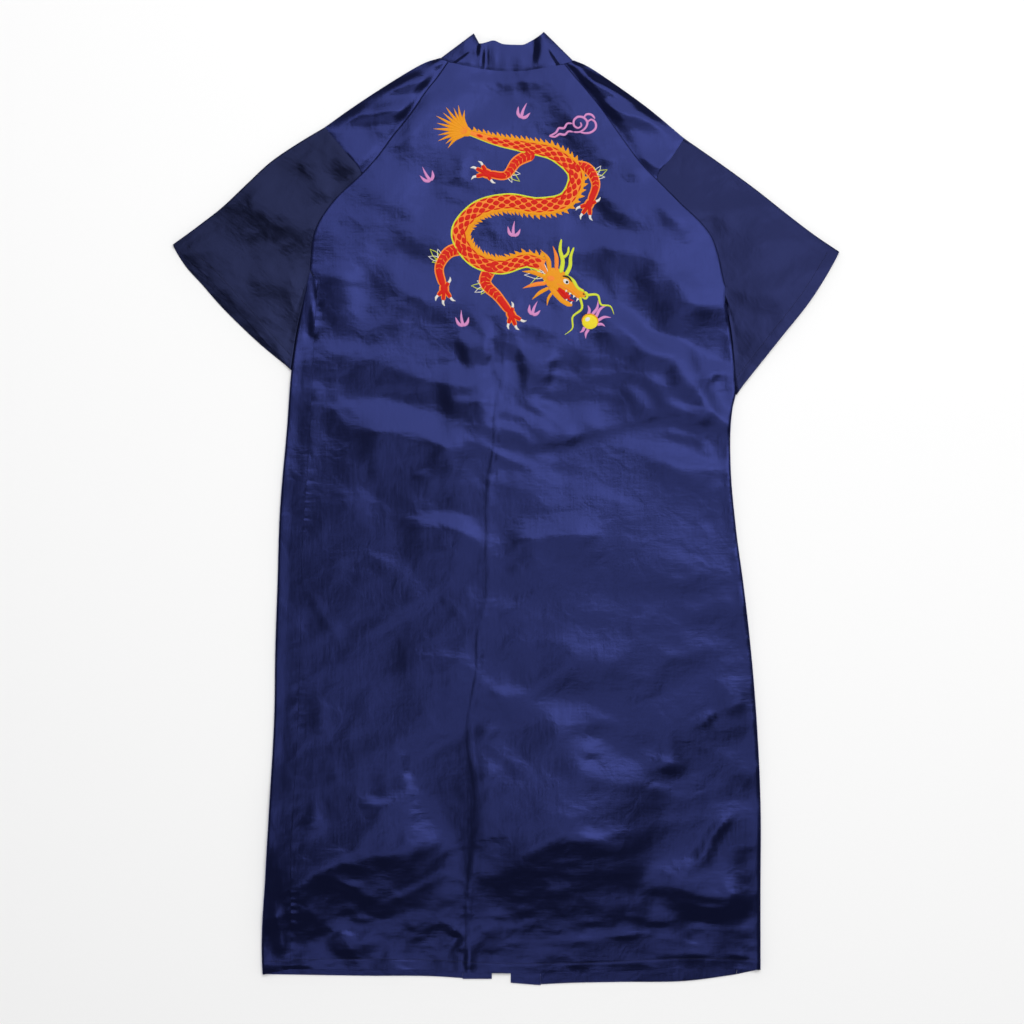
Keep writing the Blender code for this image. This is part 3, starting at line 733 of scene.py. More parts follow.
frontGrid = {"tuckRows": 37, "bodyRows": 150, "columns": 34, "stripColumns": 15}
frontShape = {
    "flatEdge": 14,      # its folds begin this far in
    "reachUp": 17,       # the strip on top of the robe reaches up by this, to close the side seam
    "seamTop": 889,
    "seamClosed": 60,
}
fronts = {   # each with its hem from the outer edge to the band
    "L": {"band": "left", "hem": leftFrontHem, "underBand": -0.1, "top": leftFold[0][0] - 2},
    "R": {"band": "right", "hem": rightFrontHem[::-1], "underBand": 0.1, "top": rightFold[0][0]},
}


def frontRows(side):
    # a front's middle surface from its outer edge to the band, with each row's outer end
    front = fronts[side]
    hem = front["hem"]
    rows = frontGrid["bodyRows"]
    outer = tuckLines(frontGrid["tuckRows"])["outer" + side]
    outer[0] = outer[0] + (outer[2] - outer[0]) * 0.7
    if side == "L":
        edge = longEdge(leftFold, front["top"], hem[0][1], rows)
        low = edge + (cover, 0)
    else:
        edge = low = rightSeamLine(rows) - (robe["seamGap"] / 2, 0)
    ends = np.concatenate([outer, low])
    lowUp = front["top"] + (hem[-1][1] - front["top"]) * bodyShares(rows)
    innerUp = np.concatenate([outer[:, 1] - 3, lowUp])
    sewn = [(row[1], row[0]) for row in bandSewn[front["band"]]]
    inner = np.stack([readTable(sewn, innerUp) + front["underBand"], innerUp], axis=1)
    shares = np.linspace(0, 1, frontGrid["columns"])
    places = partWay(ends, inner, shares)
    bendToHem(places[frontGrid["tuckRows"]:], hem)
    folded = ease(apart(places, ends[:, None, :]) / frontShape["flatEdge"])
    height = robe["frontLevel"] + lowHeight(places[:, :, 0], places[:, :, 1]) * folded
    return withHeight(places, height), edge


def makeFrontRight():
    grid, _ = frontRows("R")
    return addSheet("front_right_panel", [stitchedGrid(grid[:, ::-1])])


def makeFrontLeft():
    # it wraps up over the left edge, to the side seam on top of the robe
    grid, edge = frontRows("L")
    parts = [stitchedGrid(grid)]
    seam = leftSeamLine(len(edge)) - (robe["seamGap"] / 2, 0)
    inner = withHeight(edge + (cover, 0), 0.0)
    outer = withHeight(seam, 0.0)
    middle = between(inner, outer, frontGrid["stripColumns"])
    flat = np.concatenate([inner[:, None], middle, outer[:, None]], axis=1)
    lift = robe["edgeLift"] * fade(flat[:, :, 0] - edge[:, None, 0], robe["edgeRoll"])
    fromSeam = np.clip((seam[:, None, 0] - flat[:, :, 0]) / (seam[:, None, 0] - edge[:, None, 0]), 0, 1)
    belowTop = frontShape["seamTop"] - edge[:, None, 1]
    reachUp = frontShape["reachUp"] * fade(belowTop, frontShape["seamClosed"])
    flat[:, :, 1] += reachUp * (0.11 + 0.89 * fromSeam)
    flat[:, :, 2] = backTop(flat[:, :, 0], flat[:, :, 1], lift, 1)
    flat[:, :, 2] += hemLift(flat[:, :, 1] - readTable(leftFrontHem, flat[:, :, 0]) - 5)
    turn = turnAround(edge, np.array([[-1.0, 0.0]]), flat[:, 0, 2], robe["frontLevel"])[:, ::-1]
    turn[:, :, 1] += reachUp * np.linspace(0, 1, robe["turnPoints"])
    strip = np.concatenate([turn[:, 1:-1], flat], axis=1)
    carryOn(parts, strip, parts[0][2][frontGrid["tuckRows"]:, 0], mirrored=True)
    return addSheet("front_left_panel", parts)


sleeveGrid = {"steps": 62, "upper": 64, "under": 34}
sleeveShape = {"spread": 20, "armholeGap": 0.1, "puff": 1.6, "cuffReach": 38, "hem": 0.8}


def sleevePlan(sleeve, shares):
    # sections of a sleeve seen from above, from the armhole to the cuff
    sign = 1 if sleeve["side"] == "L" else -1
    keys = np.arange(lastTuckRow + 1)
    armhole = shoulderCorner + (lastTuckRow - shoulderCorner) * shares
    start = readCurve(keys, tuckRows["outer" + sleeve["side"]], armhole, shoulderCorner)
    start = start + besideLine(start) * sign * sleeveShape["armholeGap"]
    start[0] = sleeve["top"][0]
    start[-1] = sleeve["underarm"][0]
    end = alongLine(sleeve["cuff"], 0.16 * shares + 0.84 * shares ** sleeve["cuffCrowding"])
    steps = np.linspace(0, 1, sleeveGrid["steps"])
    topLine = alongLine(sleeve["top"], steps)
    lowLine = alongLine(sleeve["underarm"], steps)
    along = steps[:, None, None]
    share = shares[None, :, None]
    straight = start[None] + (end - start)[None] * along
    topBend = topLine[:, None] - straight[:, :1]
    lowBend = lowLine[:, None] - straight[:, -1:]
    plan = straight + topBend * (1 - share) + lowBend * share
    outwards = unit(end[len(end) // 2] - start[len(start) // 2])
    spread = np.minimum(1, 10 * along) * (1 - along) ** 2 * share ** 3 * (1 - share ** 24)
    return plan + outwards * sleeveShape["spread"] * spread, topLine, lowLine, outwards


def makeSleeve(name, sleeve):
    sign = 1 if sleeve["side"] == "L" else -1
    level = robe["frontLevel"]
    steps = np.linspace(0, 1, sleeveGrid["steps"])[:, None]
    shares = np.linspace(0, 1, sleeveGrid["upper"])
    plan, topLine, lowLine, outwards = sleevePlan(sleeve, shares)
    upper = plan[:, 1:-1]
    archAcross = arch(shares[None, 1:-1])
    nearEdge = np.minimum(apart(upper, plan[:, :1]), apart(upper, plan[:, -1:]))
    toCuff = apart(upper, upper[-1:])
    fromSeam = apart(upper, upper[:1])
    height = robe["backLevel"] + robe["edgeLift"] * fade(nearEdge, robe["edgeRoll"]) * ease(steps * 4)
    height = height + sleeveShape["puff"] * ease(steps * 2.5 - 0.5) * archAcross
    height += sleeve["cuffLift"] * bell(toCuff, sleeveShape["cuffReach"]) * archAcross ** 0.7
    height += clothHeight(upper[:, :, 0], upper[:, :, 1]) * (0.4 + 0.35 * ease(nearEdge / 20))
    height += seamPuckers("sleeveTop", upper[0, :, 1], fromSeam) - seamDip(fromSeam)
    height += hemLift(toCuff) * sleeveShape["hem"]

    underShares = np.linspace(0, 1, sleeveGrid["under"])
    under = sleevePlan(sleeve, underShares)[0][:, 1:-1][:, ::-1]
    underArch = arch(underShares[None, 1:-1][:, ::-1])
    under = under + outwards * (sleeve["underReach"] * steps ** 3 * underArch)[:, :, None]
    underHeight = level + 0.8 * lowHeight(under[:, :, 0], under[:, :, 1]) * underArch
    topHigh = np.maximum(level + layerStep, height[:, 0])
    lowHigh = np.maximum(level + layerStep, height[:, -1])
    topTurn = turnAround(plan[:, 0], besideLine(topLine) * sign, topHigh, level)[:, ::-1]
    lowTurn = turnAround(plan[:, -1], besideLine(lowLine) * -sign, lowHigh, level)
    rings = [topTurn, withHeight(upper, height), lowTurn, withHeight(under, underHeight)]
    tube = stitchedGrid(np.concatenate(rings, axis=1), closed=True, mirrored=sleeve["side"] == "R")
    return addSheet(name + "_tube", [tube], grain=sleeve["grain"])


bandGrid = {"left": 150, "neck": 110, "right": 150, "across": 15}
band = {
    "thick": 0.8,
    "neckLevel": 3.3,
    "bulge": 0.7,
    "ripple": 0.35,
    "allowance": 3.0,        # how far its seam allowance runs on under the back
    "allowanceDrop": 0.6,
    "belowBack": 0.9,
}
bandPleats = (   # across, height, width, and where along the band's width it is deepest
    (-38, -1.7, 4.4, 0.75),
    (-31.5, 0.6, 4.0, 0.5),
    (-25.5, -1.4, 3.6, 0.4),
    (-14, 0.7, 4.0, 0.6),
    (6, -0.4, 6.0, 0.3),
    (20, 0.6, 5.0, 0.5),
    (34, -1.5, 6.0, 0.7),
    (50, 1.0, 8.0, 0.8),
    (-58, -0.8, 7.0, 0.6),
)


def backHeight(places):
    # heights of the middle of the back's upper layer at places seen from above
    heights = np.full(len(places), float(robe["backLevel"]))
    for number, start in enumerate(toRobeFrame(withHeight(places, 100.0))):
        hit = backSurface.ray_cast(Vector(start), Vector((0, 0, -1)))[0]
        if hit is not None:
            heights[number] = hit.z * 1000
    return heights


def neckHeight(places, sewn, free, shares, acrossShares):
    height = np.full(places.shape[:2], band["neckLevel"])
    for across, depth, width, deepest in bandPleats:
        height += depth * bell(acrossShares - deepest, 0.42) * bell(places[:, :, 0] - across, width)
    height += band["bulge"] * arch(acrossShares)
    height += band["ripple"] * np.sin(places[:, :, 0] / 6.5 + 0.8)
    # the band comes up to the back's edge
    backEdge = backHeight(sewn + unit(sewn - free) * 2.0) - band["belowBack"]
    rise = np.clip(backEdge - band["neckLevel"], 0, 4) * ease(8 * arch(shares))
    height += rise[:, None] * fade(acrossShares, 0.7)
    height[:, 0] -= band["allowanceDrop"]
    return height


def makeBand():
    low = robe["frontLevel"] + 0.05
    acrossShares = np.linspace(0, 1, bandGrid["across"])
    rows = []
    for part in bandSewn:
        shares = np.linspace(0, 1, bandGrid[part])
        sewn = alongLine(bandSewn[part], shares)
        free = alongLine(bandFree[part], shares)
        places = partWay(sewn, free, acrossShares)
        height = low + 0.15 * arch(acrossShares)
        if part == "neck":
            height = neckHeight(places, sewn, free, shares, acrossShares)
            tucked = band["allowance"] * arch(shares)[:, None] ** 0.3
            places[:, 0] -= unit(places[:, 1] - places[:, 0]) * tucked
        rows.append(withHeight(places, height))
    folds = []
    for part, number, side in (("left", -1, 1), ("right", 0, -1)):
        sewn = np.array(bandSewn[part][number], float)
        free = np.array(bandFree[part][number], float)
        line = sewn + (free - sewn) * acrossShares[:, None]
        around = turnAround(line, toLeft(unit((free - sewn) * side))[None], band["neckLevel"], low)
        folds.append(np.swapaxes(around, 0, 1))
    grid = np.concatenate([rows[0][:-1], folds[0][::-1], rows[1], folds[1], rows[2][1:]])
    return addSheet("neckband_strip", [stitchedGrid(grid)], band["thick"], math.pi / 2)


backPiece, backSurface = makeBack()
frontLeft = makeFrontLeft()
frontRight = makeFrontRight()
sleevePieces = {name: makeSleeve(name, sleeve) for name, sleeve in sleeves.items()}
clothPieces = [backPiece, frontLeft, frontRight, makeBand()] + list(sleevePieces.values())


embroidery = {
    "centre": (7.6, 970),    # of the design on the back
    "rise": 0.6,             # a filled stroke stands this far above the cloth
    "innerRise": 0.5,        # and what is stitched over or beside it this far
    "spacing": 1.7,          # of the points along a stroke
    "sunk": 0.2,             # its edges are drawn into the cloth
    "leastHalf": 0.16,       # half width of its thinnest end
    "overlap": 0.35,         # what is stitched over a filled shape starts this far up
    "scalePitch": 6.9,
    "scaleFill": 0.72,
    "finPitch": 6.2,
}
strokeAcross = np.array([-1, -0.72, 0, 0.72, 1])     # a stroke's section, in shares of its half width
strokeDome = np.array([0, 0.8, 1, 0.8, 0])           # and of its height
threads = {name: {"points": [], "faces": [], "grain": [], "count": 0}
           for name in ("orange", "red", "gold", "lime", "yellow", "pink", "white", "black")}


def addThread(colour, points, faces, grain):
    # closed stitched shape, with points in the design's millimetres and heights above the cloth
    thread = threads[colour]
    placed = points.copy()
    placed[:, :2] += embroidery["centre"]
    placed[:, 2] += backHeight(placed[:, :2]) + robe["cloth"] / 2
    thread["points"].append(placed)
    thread["faces"].extend([[corner + thread["count"] for corner in face] for face in faces])
    thread["grain"].append(grain)
    thread["count"] += len(points)


def addStroke(colour, path, widths, level=0.0, rise=embroidery["rise"], roundEnds=True):
    # a band of satin stitches along a smooth path, with these half widths from start to end
    path = np.asarray(path, float)
    length = apart(path[1:], path[:-1]).sum()
    shares = np.linspace(0, 1, max(5, int(length / embroidery["spacing"]) + 1))
    line = alongLine(path, shares)
    half = readCurve(np.linspace(0, 1, len(widths)), widths, shares)
    if roundEnds:
        fromEnd = np.minimum(shares, 1 - shares) * length / max(widths)
        half = half * np.sqrt(1 - (1 - np.clip(fromEnd, 0.06, 1)) ** 2)
    half = np.maximum(half, embroidery["leastHalf"])
    across = half[:, None] * strokeAcross
    tall = rise * np.clip(half / 1.1, 0.35, 1) + embroidery["sunk"]
    places = line[:, None, :] + besideLine(line)[:, None, :] * across[:, :, None]
    height = level - embroidery["sunk"] + tall[:, None] * strokeDome
    points, faces, numbers = stitchedGrid(withHeight(places, height), closed=True, mirrored=True)
    grain = np.stack([across, np.repeat((shares * length)[:, None], 5, axis=1)], axis=2)
    faces = faces.tolist() + [numbers[0, 4::-1].tolist(), numbers[-1, :5].tolist()]
    addThread(colour, points, faces, grain.reshape(-1, 2))


def tubeFaces(first, sections, sides):
    # the faces between rings of points that follow each other from this vertex on
    faces = []
    for low in range(first, first + sections * sides, sides):
        for number in range(sides):
            after = (number + 1) % sides
            faces.append([low + number, low + after, low + sides + after, low + sides + number])
    return faces


def addPatch(colour, outline, level=0.0, rise=embroidery["rise"], lean=0.6):
    # a filled shape from its outline, run anticlockwise, with stitches laid at a slant
    outline = np.asarray(outline, float)
    centre = outline.mean(axis=0)
    rings = ((1.0, -embroidery["sunk"]), (0.82, 0.8 * rise), (0.45, rise))
    layers = [withHeight(centre + (outline - centre) * size, level + height) for size, height in rings]
    points = np.concatenate(layers + [[[centre[0], centre[1], level + rise]]])
    count = len(outline)
    faces = [list(range(count))[::-1]] + tubeFaces(0, 2, count)
    last = 2 * count
    faces += [[last + number, last + (number + 1) % count, last + count] for number in range(count)]
    slant = np.stack([points[:, 0] * math.cos(lean) + points[:, 1] * math.sin(lean),
                      points[:, 1] * math.cos(lean) - points[:, 0] * math.sin(lean)], axis=1)
    addThread(colour, points, faces, slant)


def turned(points, turn):
    x = points[:, 0] * math.cos(turn) - points[:, 1] * math.sin(turn)
    y = points[:, 0] * math.sin(turn) + points[:, 1] * math.cos(turn)
    return np.stack([x, y], axis=1)


def ovalOutline(centre, along, acrossSize, turn, count=12, power=1.0):
    angles = np.linspace(0, 2 * math.pi, count, endpoint=False)
    a = np.sign(np.cos(angles)) * np.abs(np.cos(angles)) ** power * along
    b = np.sign(np.sin(angles)) * np.abs(np.sin(angles)) ** power * acrossSize
    return turned(np.stack([a, b], axis=1), turn) + centre


def addLeaf(colour, base, tip, bulge):
    # the outline of a pointed leaf
    base = np.asarray(base, float)
    run = np.asarray(tip, float) - base
    side = toLeft(run) / max(np.linalg.norm(run), 1e-6) * bulge
    for sign in (-1, 1):
        addStroke(colour, (base, base + run * 0.42 + side * sign, tip), (0.55, 0.55, 0.385), 0.1)


dragon = {
    # from the tail to the neck, in millimetres from the design's centre
    "spine": ((-54, 112), (-22, 102), (18, 94), (56, 84), (81, 58), (70, 28), (36, 19), (-6, 24),
              (-46, 13), (-67, -15), (-50, -46), (-14, -58), (20, -50), (44, -58)),
    "halfWidths": (3.4, 5.6, 7.4, 8.6, 9.4, 9.8, 10, 10, 10, 9.8, 9.4, 9.2, 8.8, 8.4),
    "slim": 5.4,             # half width below which the scales stand in one row
    "head": {"place": (57, -76), "turn": -0.62},
    "tail": (-55, 112),
    "pearl": (99, -128),
}


def onBody(frames, distance, across):
    # the place this far along the body, at a share of its half width to the right as it runs
    line, side, half, lengths = frames
    middle, out = (np.array([np.interp(distance, lengths, values[:, axis]) for axis in (0, 1)])
                   for values in (line, side))
    out = unit(out)
    width = np.interp(distance, lengths, half)
    return middle + out * width * across, out, width


def stitchBody():
    shares = np.linspace(0, 1, 360)
    line = alongLine(dragon["spine"], shares)
    side = besideLine(line)
    half = readCurve(np.linspace(0, 1, len(dragon["halfWidths"])), dragon["halfWidths"], shares)
    lengths = lengthsAlong(line)
    frames = (line, side, half, lengths)
    addStroke("orange", line[::4], half[::4], roundEnds=False)
    back = line - side * (half * 0.96)[:, None]
    belly = line + side * half[:, None]
    addStroke("gold", back[::5], [0.9, 2.1, 2.3, 2.3, 2.3, 2.1], 0.25)
    addStroke("lime", belly[::5], [0.5, 0.9, 1.1, 1.1, 1.1, 1.1], 0.25)

    pitch = embroidery["scalePitch"]
    fill = embroidery["scaleFill"]
    for number in range(1, int(lengths[-1] / pitch)):
        cells = ((0.44, 0.5), (-0.4, 0.48)) if number % 2 else ((0.02, 0.5), (0.8, 0.22), (-0.74, 0.16))
        for across, reach in cells:
            centre, out, width = onBody(frames, number * pitch, across)
            slim = width < dragon["slim"]
            if (abs(across) > 0.6 and width < 7) or (slim and number % 2):
                continue
            ahead = math.atan2(out[0], -out[1])
            reach = width * reach * fill * (1.3 if slim else 1.0)
            outline = ovalOutline(centre, pitch * fill * 1.04, reach, ahead + math.pi, 12, 1.25)
            addPatch("red", outline, embroidery["overlap"], embroidery["innerRise"], ahead)

    for number in range(1, int(lengths[-1] / embroidery["finPitch"])):
        start, out, width = onBody(frames, number * embroidery["finPitch"], -1.0)
        run = -toLeft(out)
        tall = 3.2 + 0.38 * width + 0.8 * math.sin(number * 2.3)
        root = start + out * 1.2
        outline = [root + run * 3.4, root - run * 3.4, start - out * tall * 0.45 - run * 1.6,
                   start - out * tall + run * 3.6, start - out * tall * 0.3 + run * 3.0]
        addPatch("gold", outline, 0.1, embroidery["innerRise"])


def stitchLimb(path, widths):
    # a red limb with an orange edge and short orange strokes along both sides
    addStroke("orange", path, [width + 1.5 for width in widths])
    addStroke("red", path, widths, embroidery["overlap"], embroidery["innerRise"])
    line = alongLine(path, np.linspace(0, 1, 13))
    side = besideLine(line)
    for number in range(1, 9):
        half = float(np.interp(number / 12, np.linspace(0, 1, len(widths)), widths)) * 0.86
        ahead = unit(line[number + 1] - line[number])
        for sign in (-1, 1):
            start = line[number]
            out = side[number] * half * sign
            stroke = (start - ahead * 1.6, start + out * 0.5, start + out + ahead * 1.2)
            addStroke("orange", stroke, (0.5, 0.6, 0.4), 0.75, 0.25)


def stitchFoot(place, ahead):
    # a paw with three toes forward and one back, and a white claw on each
    place = np.asarray(place, float)
    addPatch("orange", ovalOutline(place, 8.2, 6.8, ahead), 0.05)
    addPatch("red", ovalOutline(place, 6.6, 5.2, ahead), embroidery["overlap"], embroidery["innerRise"])
    for turn, reach in ((-0.95, 13), (-0.3, 16), (0.4, 15), (2.3, 10.5)):
        out = heading(ahead + turn)
        curl = heading(ahead + turn + 0.9)
        tip = place + out * reach
        toe = (place + out * 2, place + out * reach * 0.72, tip)
        addStroke("orange", toe, (3.4, 3.5, 2.7))
        addStroke("red", toe, (2.5, 2.5, 1.9), 0.3)
        addStroke("white", (tip - out * 1.2, tip + out * 2.6, tip + out * 3.8 + curl * 3.4),
                  (1.6, 1.5, 0.25), 0.4, roundEnds=False)


legs = (
    {"path": ((28, 86), (6, 75), (-8, 58), (-31, 60)), "widths": (7.4, 6.4, 4.8, 4.2),
     "foot": (-32, 60), "heading": 3.0, "elbow": (-6, 62), "flare": -0.4},
    {"path": ((76, 70), (96, 66), (106, 48), (99, 23)), "widths": (7.0, 6.2, 4.8, 4.2),
     "foot": (98, 21), "heading": -1.9, "elbow": (103, 56), "flare": 0.7},
    {"path": ((-58, -34), (-80, -40), (-92, -58), (-87, -84)), "widths": (8, 7, 5.2, 4.4),
     "foot": (-86, -86), "heading": -1.35, "elbow": (-90, -50), "flare": 2.6},
    {"path": ((-24, -54), (-34, -78), (-18, -96), (-2, -117)), "widths": (8.4, 7.2, 5.4, 4.4),
     "foot": (-1, -119), "heading": -0.9, "elbow": (-32, -84), "flare": 3.3},
)


def stitchLegs():
    for leg in legs:
        for number, length in enumerate((15, 20, 17, 12)):     # leaves that flare from the elbow
            tip = leg["elbow"] + length * heading(leg["flare"] + (number - 1.5) * 0.5)
            addLeaf("lime" if number % 2 else "white", leg["elbow"], tip, length * 0.17)
        stitchLimb(leg["path"], leg["widths"])
        stitchFoot(leg["foot"], leg["heading"])


def stitchTail():
    root = np.array(dragon["tail"], float)
    addPatch("gold", ovalOutline(root + (-4, 2), 9, 6.6, 2.6), 0.1)
    for number in range(12):
        out = heading(1.75 + number * 0.185)
        length = 29 + 13 * math.sin(number / 11 * math.pi) + 4 * (number % 2)
        bend = toLeft(out) * (3.4 - number * 0.62)
        addStroke("gold", (root + out * 3, root + out * length * 0.55 + bend, root + out * length),
                  (1.6, 2.5, 1.7, 0.2), 0.05 + 0.05 * (number % 2), roundEnds=False)
    for number in range(5):
        out = heading(2.1 + number * 0.3)
        addStroke("orange", (root + out * 2, root + out * (13 + 2 * (number % 2))), (0.9, 0.7, 0.3),
                  embroidery["overlap"] + 0.1)


def headPlace(points):
    # from the head's own frame, where it faces right, to the design's
    return turned(np.array(points, float), dragon["head"]["turn"]) + dragon["head"]["place"]


headStrokes = (   # colour, path, half widths, level
    ("gold", ((-14, 4), (-26, 16), (-40, 20)), (2.6, 3.0, 0.3), 0.1),
    ("orange", ((-16, 0), (-31, 6), (-46, 4)), (2.6, 2.8, 0.3), 0.2),
    ("gold", ((-14, -5), (-29, -8), (-43, -16)), (2.6, 3.0, 0.3), 0.1),
    ("orange", ((-9, -10), (-20, -20), (-30, -33)), (2.4, 2.6, 0.3), 0.2),
    ("gold", ((-3, -13), (-9, -25), (-12, -38)), (2.2, 2.4, 0.3), 0.1),
    ("gold", ((4, -15), (4, -24), (8, -33)), (1.8, 1.8, 0.3), 0.1),
    ("orange", ((-8, 10), (-19, 25), (-30, 33)), (2.2, 2.6, 0.3), 0.2),
    ("lime", ((-2, 11), (-8, 24), (-20, 35), (-26, 46)), (2.9, 2.6, 2.2, 1.3), 0.5),
    ("lime", ((-11, 27), (-9, 36), (-13, 44)), (1.9, 1.7, 1.1), 0.5),
    ("lime", ((5, 12), (3, 24), (-4, 36), (-7, 47)), (2.7, 2.4, 2.0, 1.2), 0.6),
    ("lime", ((6, 12), (17, 12), (27, 8), (36, 9)), (1.9, 2.2, 2.0, 1.6), 0.55),
    ("lime", ((36, 9), (42, 8), (43, 3), (38, 1)), (1.7, 1.7, 1.5, 0.8), 0.6),
    ("lime", ((40, 6), (53, 15), (63, 8), (74, 13), (84, 7)), (1.7, 1.5, 1.3, 1.0, 0.3), 0.55),
    ("lime", ((36, 0), (46, -10), (43, -26), (51, -38), (48, -50)), (1.7, 1.5, 1.3, 1.0, 0.3), 0.5),
    ("red", ((6, -6), (17, -7), (27, -10), (33, -8)), (2.2, 2.4, 1.7, 0.5), 0.35),
    ("black", ((2, 9), (9, 12), (17, 10)), (0.9, 1.5, 0.6), 0.75),
    ("orange", ((2, -3), (14, -1), (26, 0), (36, -2)), (0.8, 0.9, 0.9, 0.7), 0.7),
)
headPatches = (   # colour, outline, level, rise
    ("gold", ((-17, -8), (-6, -13), (4, -11), (12, -6), (24, -3), (36, -3), (41, 2), (40, 8), (34, 11),
              (25, 9), (15, 12), (4, 15), (-8, 14), (-18, 8), (-21, 0)), 0.15, 0.7),
    ("gold", ((-4, -14), (8, -18), (20, -20), (30, -19), (35, -15), (33, -12), (27, -14), (17, -13),
              (7, -10), (-3, -8)), 0.1, 0.5),
    ("red", ((5, -11), (14, -13), (24, -13), (26, -5), (12, -4)), 0.1, 0.3),
)
faceOvals = (   # colour, middle, half length, half width, turn from the head's, points, level, rise
    ("white", (10, 6), 5.0, 3.5, 0, 12, 0.6, 0.4),
    ("black", (11.4, 6), 2.0, 2.0, 0.62, 10, 0.85, 0.4),
    ("orange", (-8, -2), 5.5, 4.0, 0.5, 12, 0.7, 0.4),
    ("black", (37.5, 6), 1.3, 0.9, 0, 8, 0.9, 0.3),
)


def stitchHead():
    mane = headPlace([(-12, 0)])[0]
    for number, (length, turn) in enumerate(((30, 2.5), (36, 2.9), (36, 3.3), (32, 3.75), (27, 4.2))):
        tip = headPlace([(-12 + length * math.cos(turn), length * math.sin(turn))])[0]
        addLeaf("white" if number % 2 else "lime", mane, tip, 4.5)
    for colour, outline, level, rise in headPatches:
        addPatch(colour, headPlace(outline), level, rise)
    for colour, path, widths, level in headStrokes:
        addStroke(colour, headPlace(path), widths, level)
    for place, drop in ((35, 5.4), (29, 3.6), (23, 3.8), (17, 3.4)):
        tooth = ((place - 1.7, -2.4), (place + 0.2, -2.6 - drop), (place + 1.6, -2.4))
        addPatch("white", headPlace(tooth), 0.6, 0.4)
    for place, lift in ((31, 4.2), (24, 3.0)):
        tooth = ((place - 1.4, -13.4), (place + 1.4, -13.4), (place, -13.4 + lift))
        addPatch("white", headPlace(tooth), 0.55, 0.4)
    for colour, middle, along, across, turn, count, level, rise in faceOvals:
        outline = ovalOutline(headPlace([middle])[0], along, across, dragon["head"]["turn"] + turn, count)
        addPatch(colour, outline, level, rise)


pearlFlames = (   # heading in radians, length, sideways bend
    (-0.35, 10, 2), (0.15, 17, 3), (0.7, 22, 4), (1.25, 19, -3), (1.75, 11, -2), (3.9, 9, 2),
    (4.5, 12, -2),
)


def stitchPearl():
    place = np.array(dragon["pearl"], float)
    addPatch("yellow", ovalOutline(place, 10.5, 9.6, 0, 22), 0.1, 0.9)
    addStroke("gold", ovalOutline(place, 10.4, 9.5, -0.4, 14)[:9], (0.5, 0.9, 0.9, 0.5), 0.4)
    addPatch("white", ovalOutline(place + (-3, 3), 3.6, 2.8, 0.6), 0.9, 0.25)
    for angle, length, bend in pearlFlames:
        out = heading(angle)
        side = toLeft(out) * bend
        start = place + out * 10
        flame = (start, start + out * length * 0.5 + side, start + out * length + side * 0.4)
        addStroke("pink", flame, (2.1, 1.8, 0.3), 0.05, roundEnds=False)


wisps = (   # place of the root, heading in radians, size
    (12, 132, 1.2, 1.0),
    (-104, 52, 2.1, 1.0),
    (2, -18, 1.5, 0.95),
    (-62, -132, 1.7, 1.0),
    (26, -118, 1.2, 0.9),
)


def stitchWisps():
    # tongues of flame in threes, joined at the root
    for across, up, angle, size in wisps:
        root = np.array([across, up])
        ahead = size * heading(angle)
        side = toLeft(ahead)
        middle = (root - ahead * 2, root + ahead * 8 + side, root + ahead * 19)
        addStroke("pink", middle, (2.2, 1.7, 0.3), 0.1)
        for sign, reach in ((-1, 9), (1, 11)):
            tongue = (root - ahead * 1.5, root + ahead * 1.5 + side * sign * 5,
                      root + ahead * reach + side * sign * 8.5)
            addStroke("pink", tongue, (2.0, 2.1, 0.4), 0.05)


cloud = {"place": (84, 124), "size": 0.82}
cloudStrokes = (   # a curled cloud, from its own middle
    ((3, 1), (5, -4), (0, -8), (-6, -5), (-7, 3), (-1, 9), (8, 8), (14, 1), (11, -8), (2, -14),
     (-8, -14)),
    ((-8, -14), (-15, -13), (-21, -18), (-29, -17), (-36, -21), (-45, -20)),
    ((-45, -20), (-34, -14), (-30, -8), (-22, -8), (-17, -1), (-9, -1)),
    ((14, 1), (20, 5), (26, 1), (27, -8), (21, -14), (11, -16), (2, -14)),
    ((8, 8), (13, 13), (21, 12), (26, 6)),
)


def stitchCloud():
    for path in cloudStrokes:
        addStroke("pink", np.array(path) * cloud["size"] + cloud["place"], (1.1, 1.5, 1.5, 1.1), 0.05)


def makeThreads():
    # one joined mesh for each colour of thread
    pieces = {}
    for colour, thread in threads.items():
        piece = addMesh("embroidery_" + colour, np.concatenate(thread["points"]), thread["faces"])
        addGrain(piece, np.concatenate(thread["grain"]) / 1000)
        piece.data.set_sharp_from_angle(angle=math.radians(75))
        pieces[colour] = piece
    print("embroidery made with", sum(len(piece.data.polygons) for piece in pieces.values()), "faces")
    return pieces


stitchLegs()
stitchBody()
stitchTail()
stitchHead()
stitchPearl()
stitchWisps()
stitchCloud()
threadPieces = makeThreads()


sewing = {
    "stitch": 2.6,       # length of a stitch
    "pitch": 3.5,
    "wide": 0.5,
    "high": 0.35,
    "above": 0.05,       # its middle lies this far above the cloth
    "sides": 6,
    "fromEnd": 4,
    "sections": ((-0.5, 0.35, -0.1), (-0.3, 1.0, 0), (0.3, 1.0, 0), (0.5, 0.35, -0.1)),  # along, size, up
}


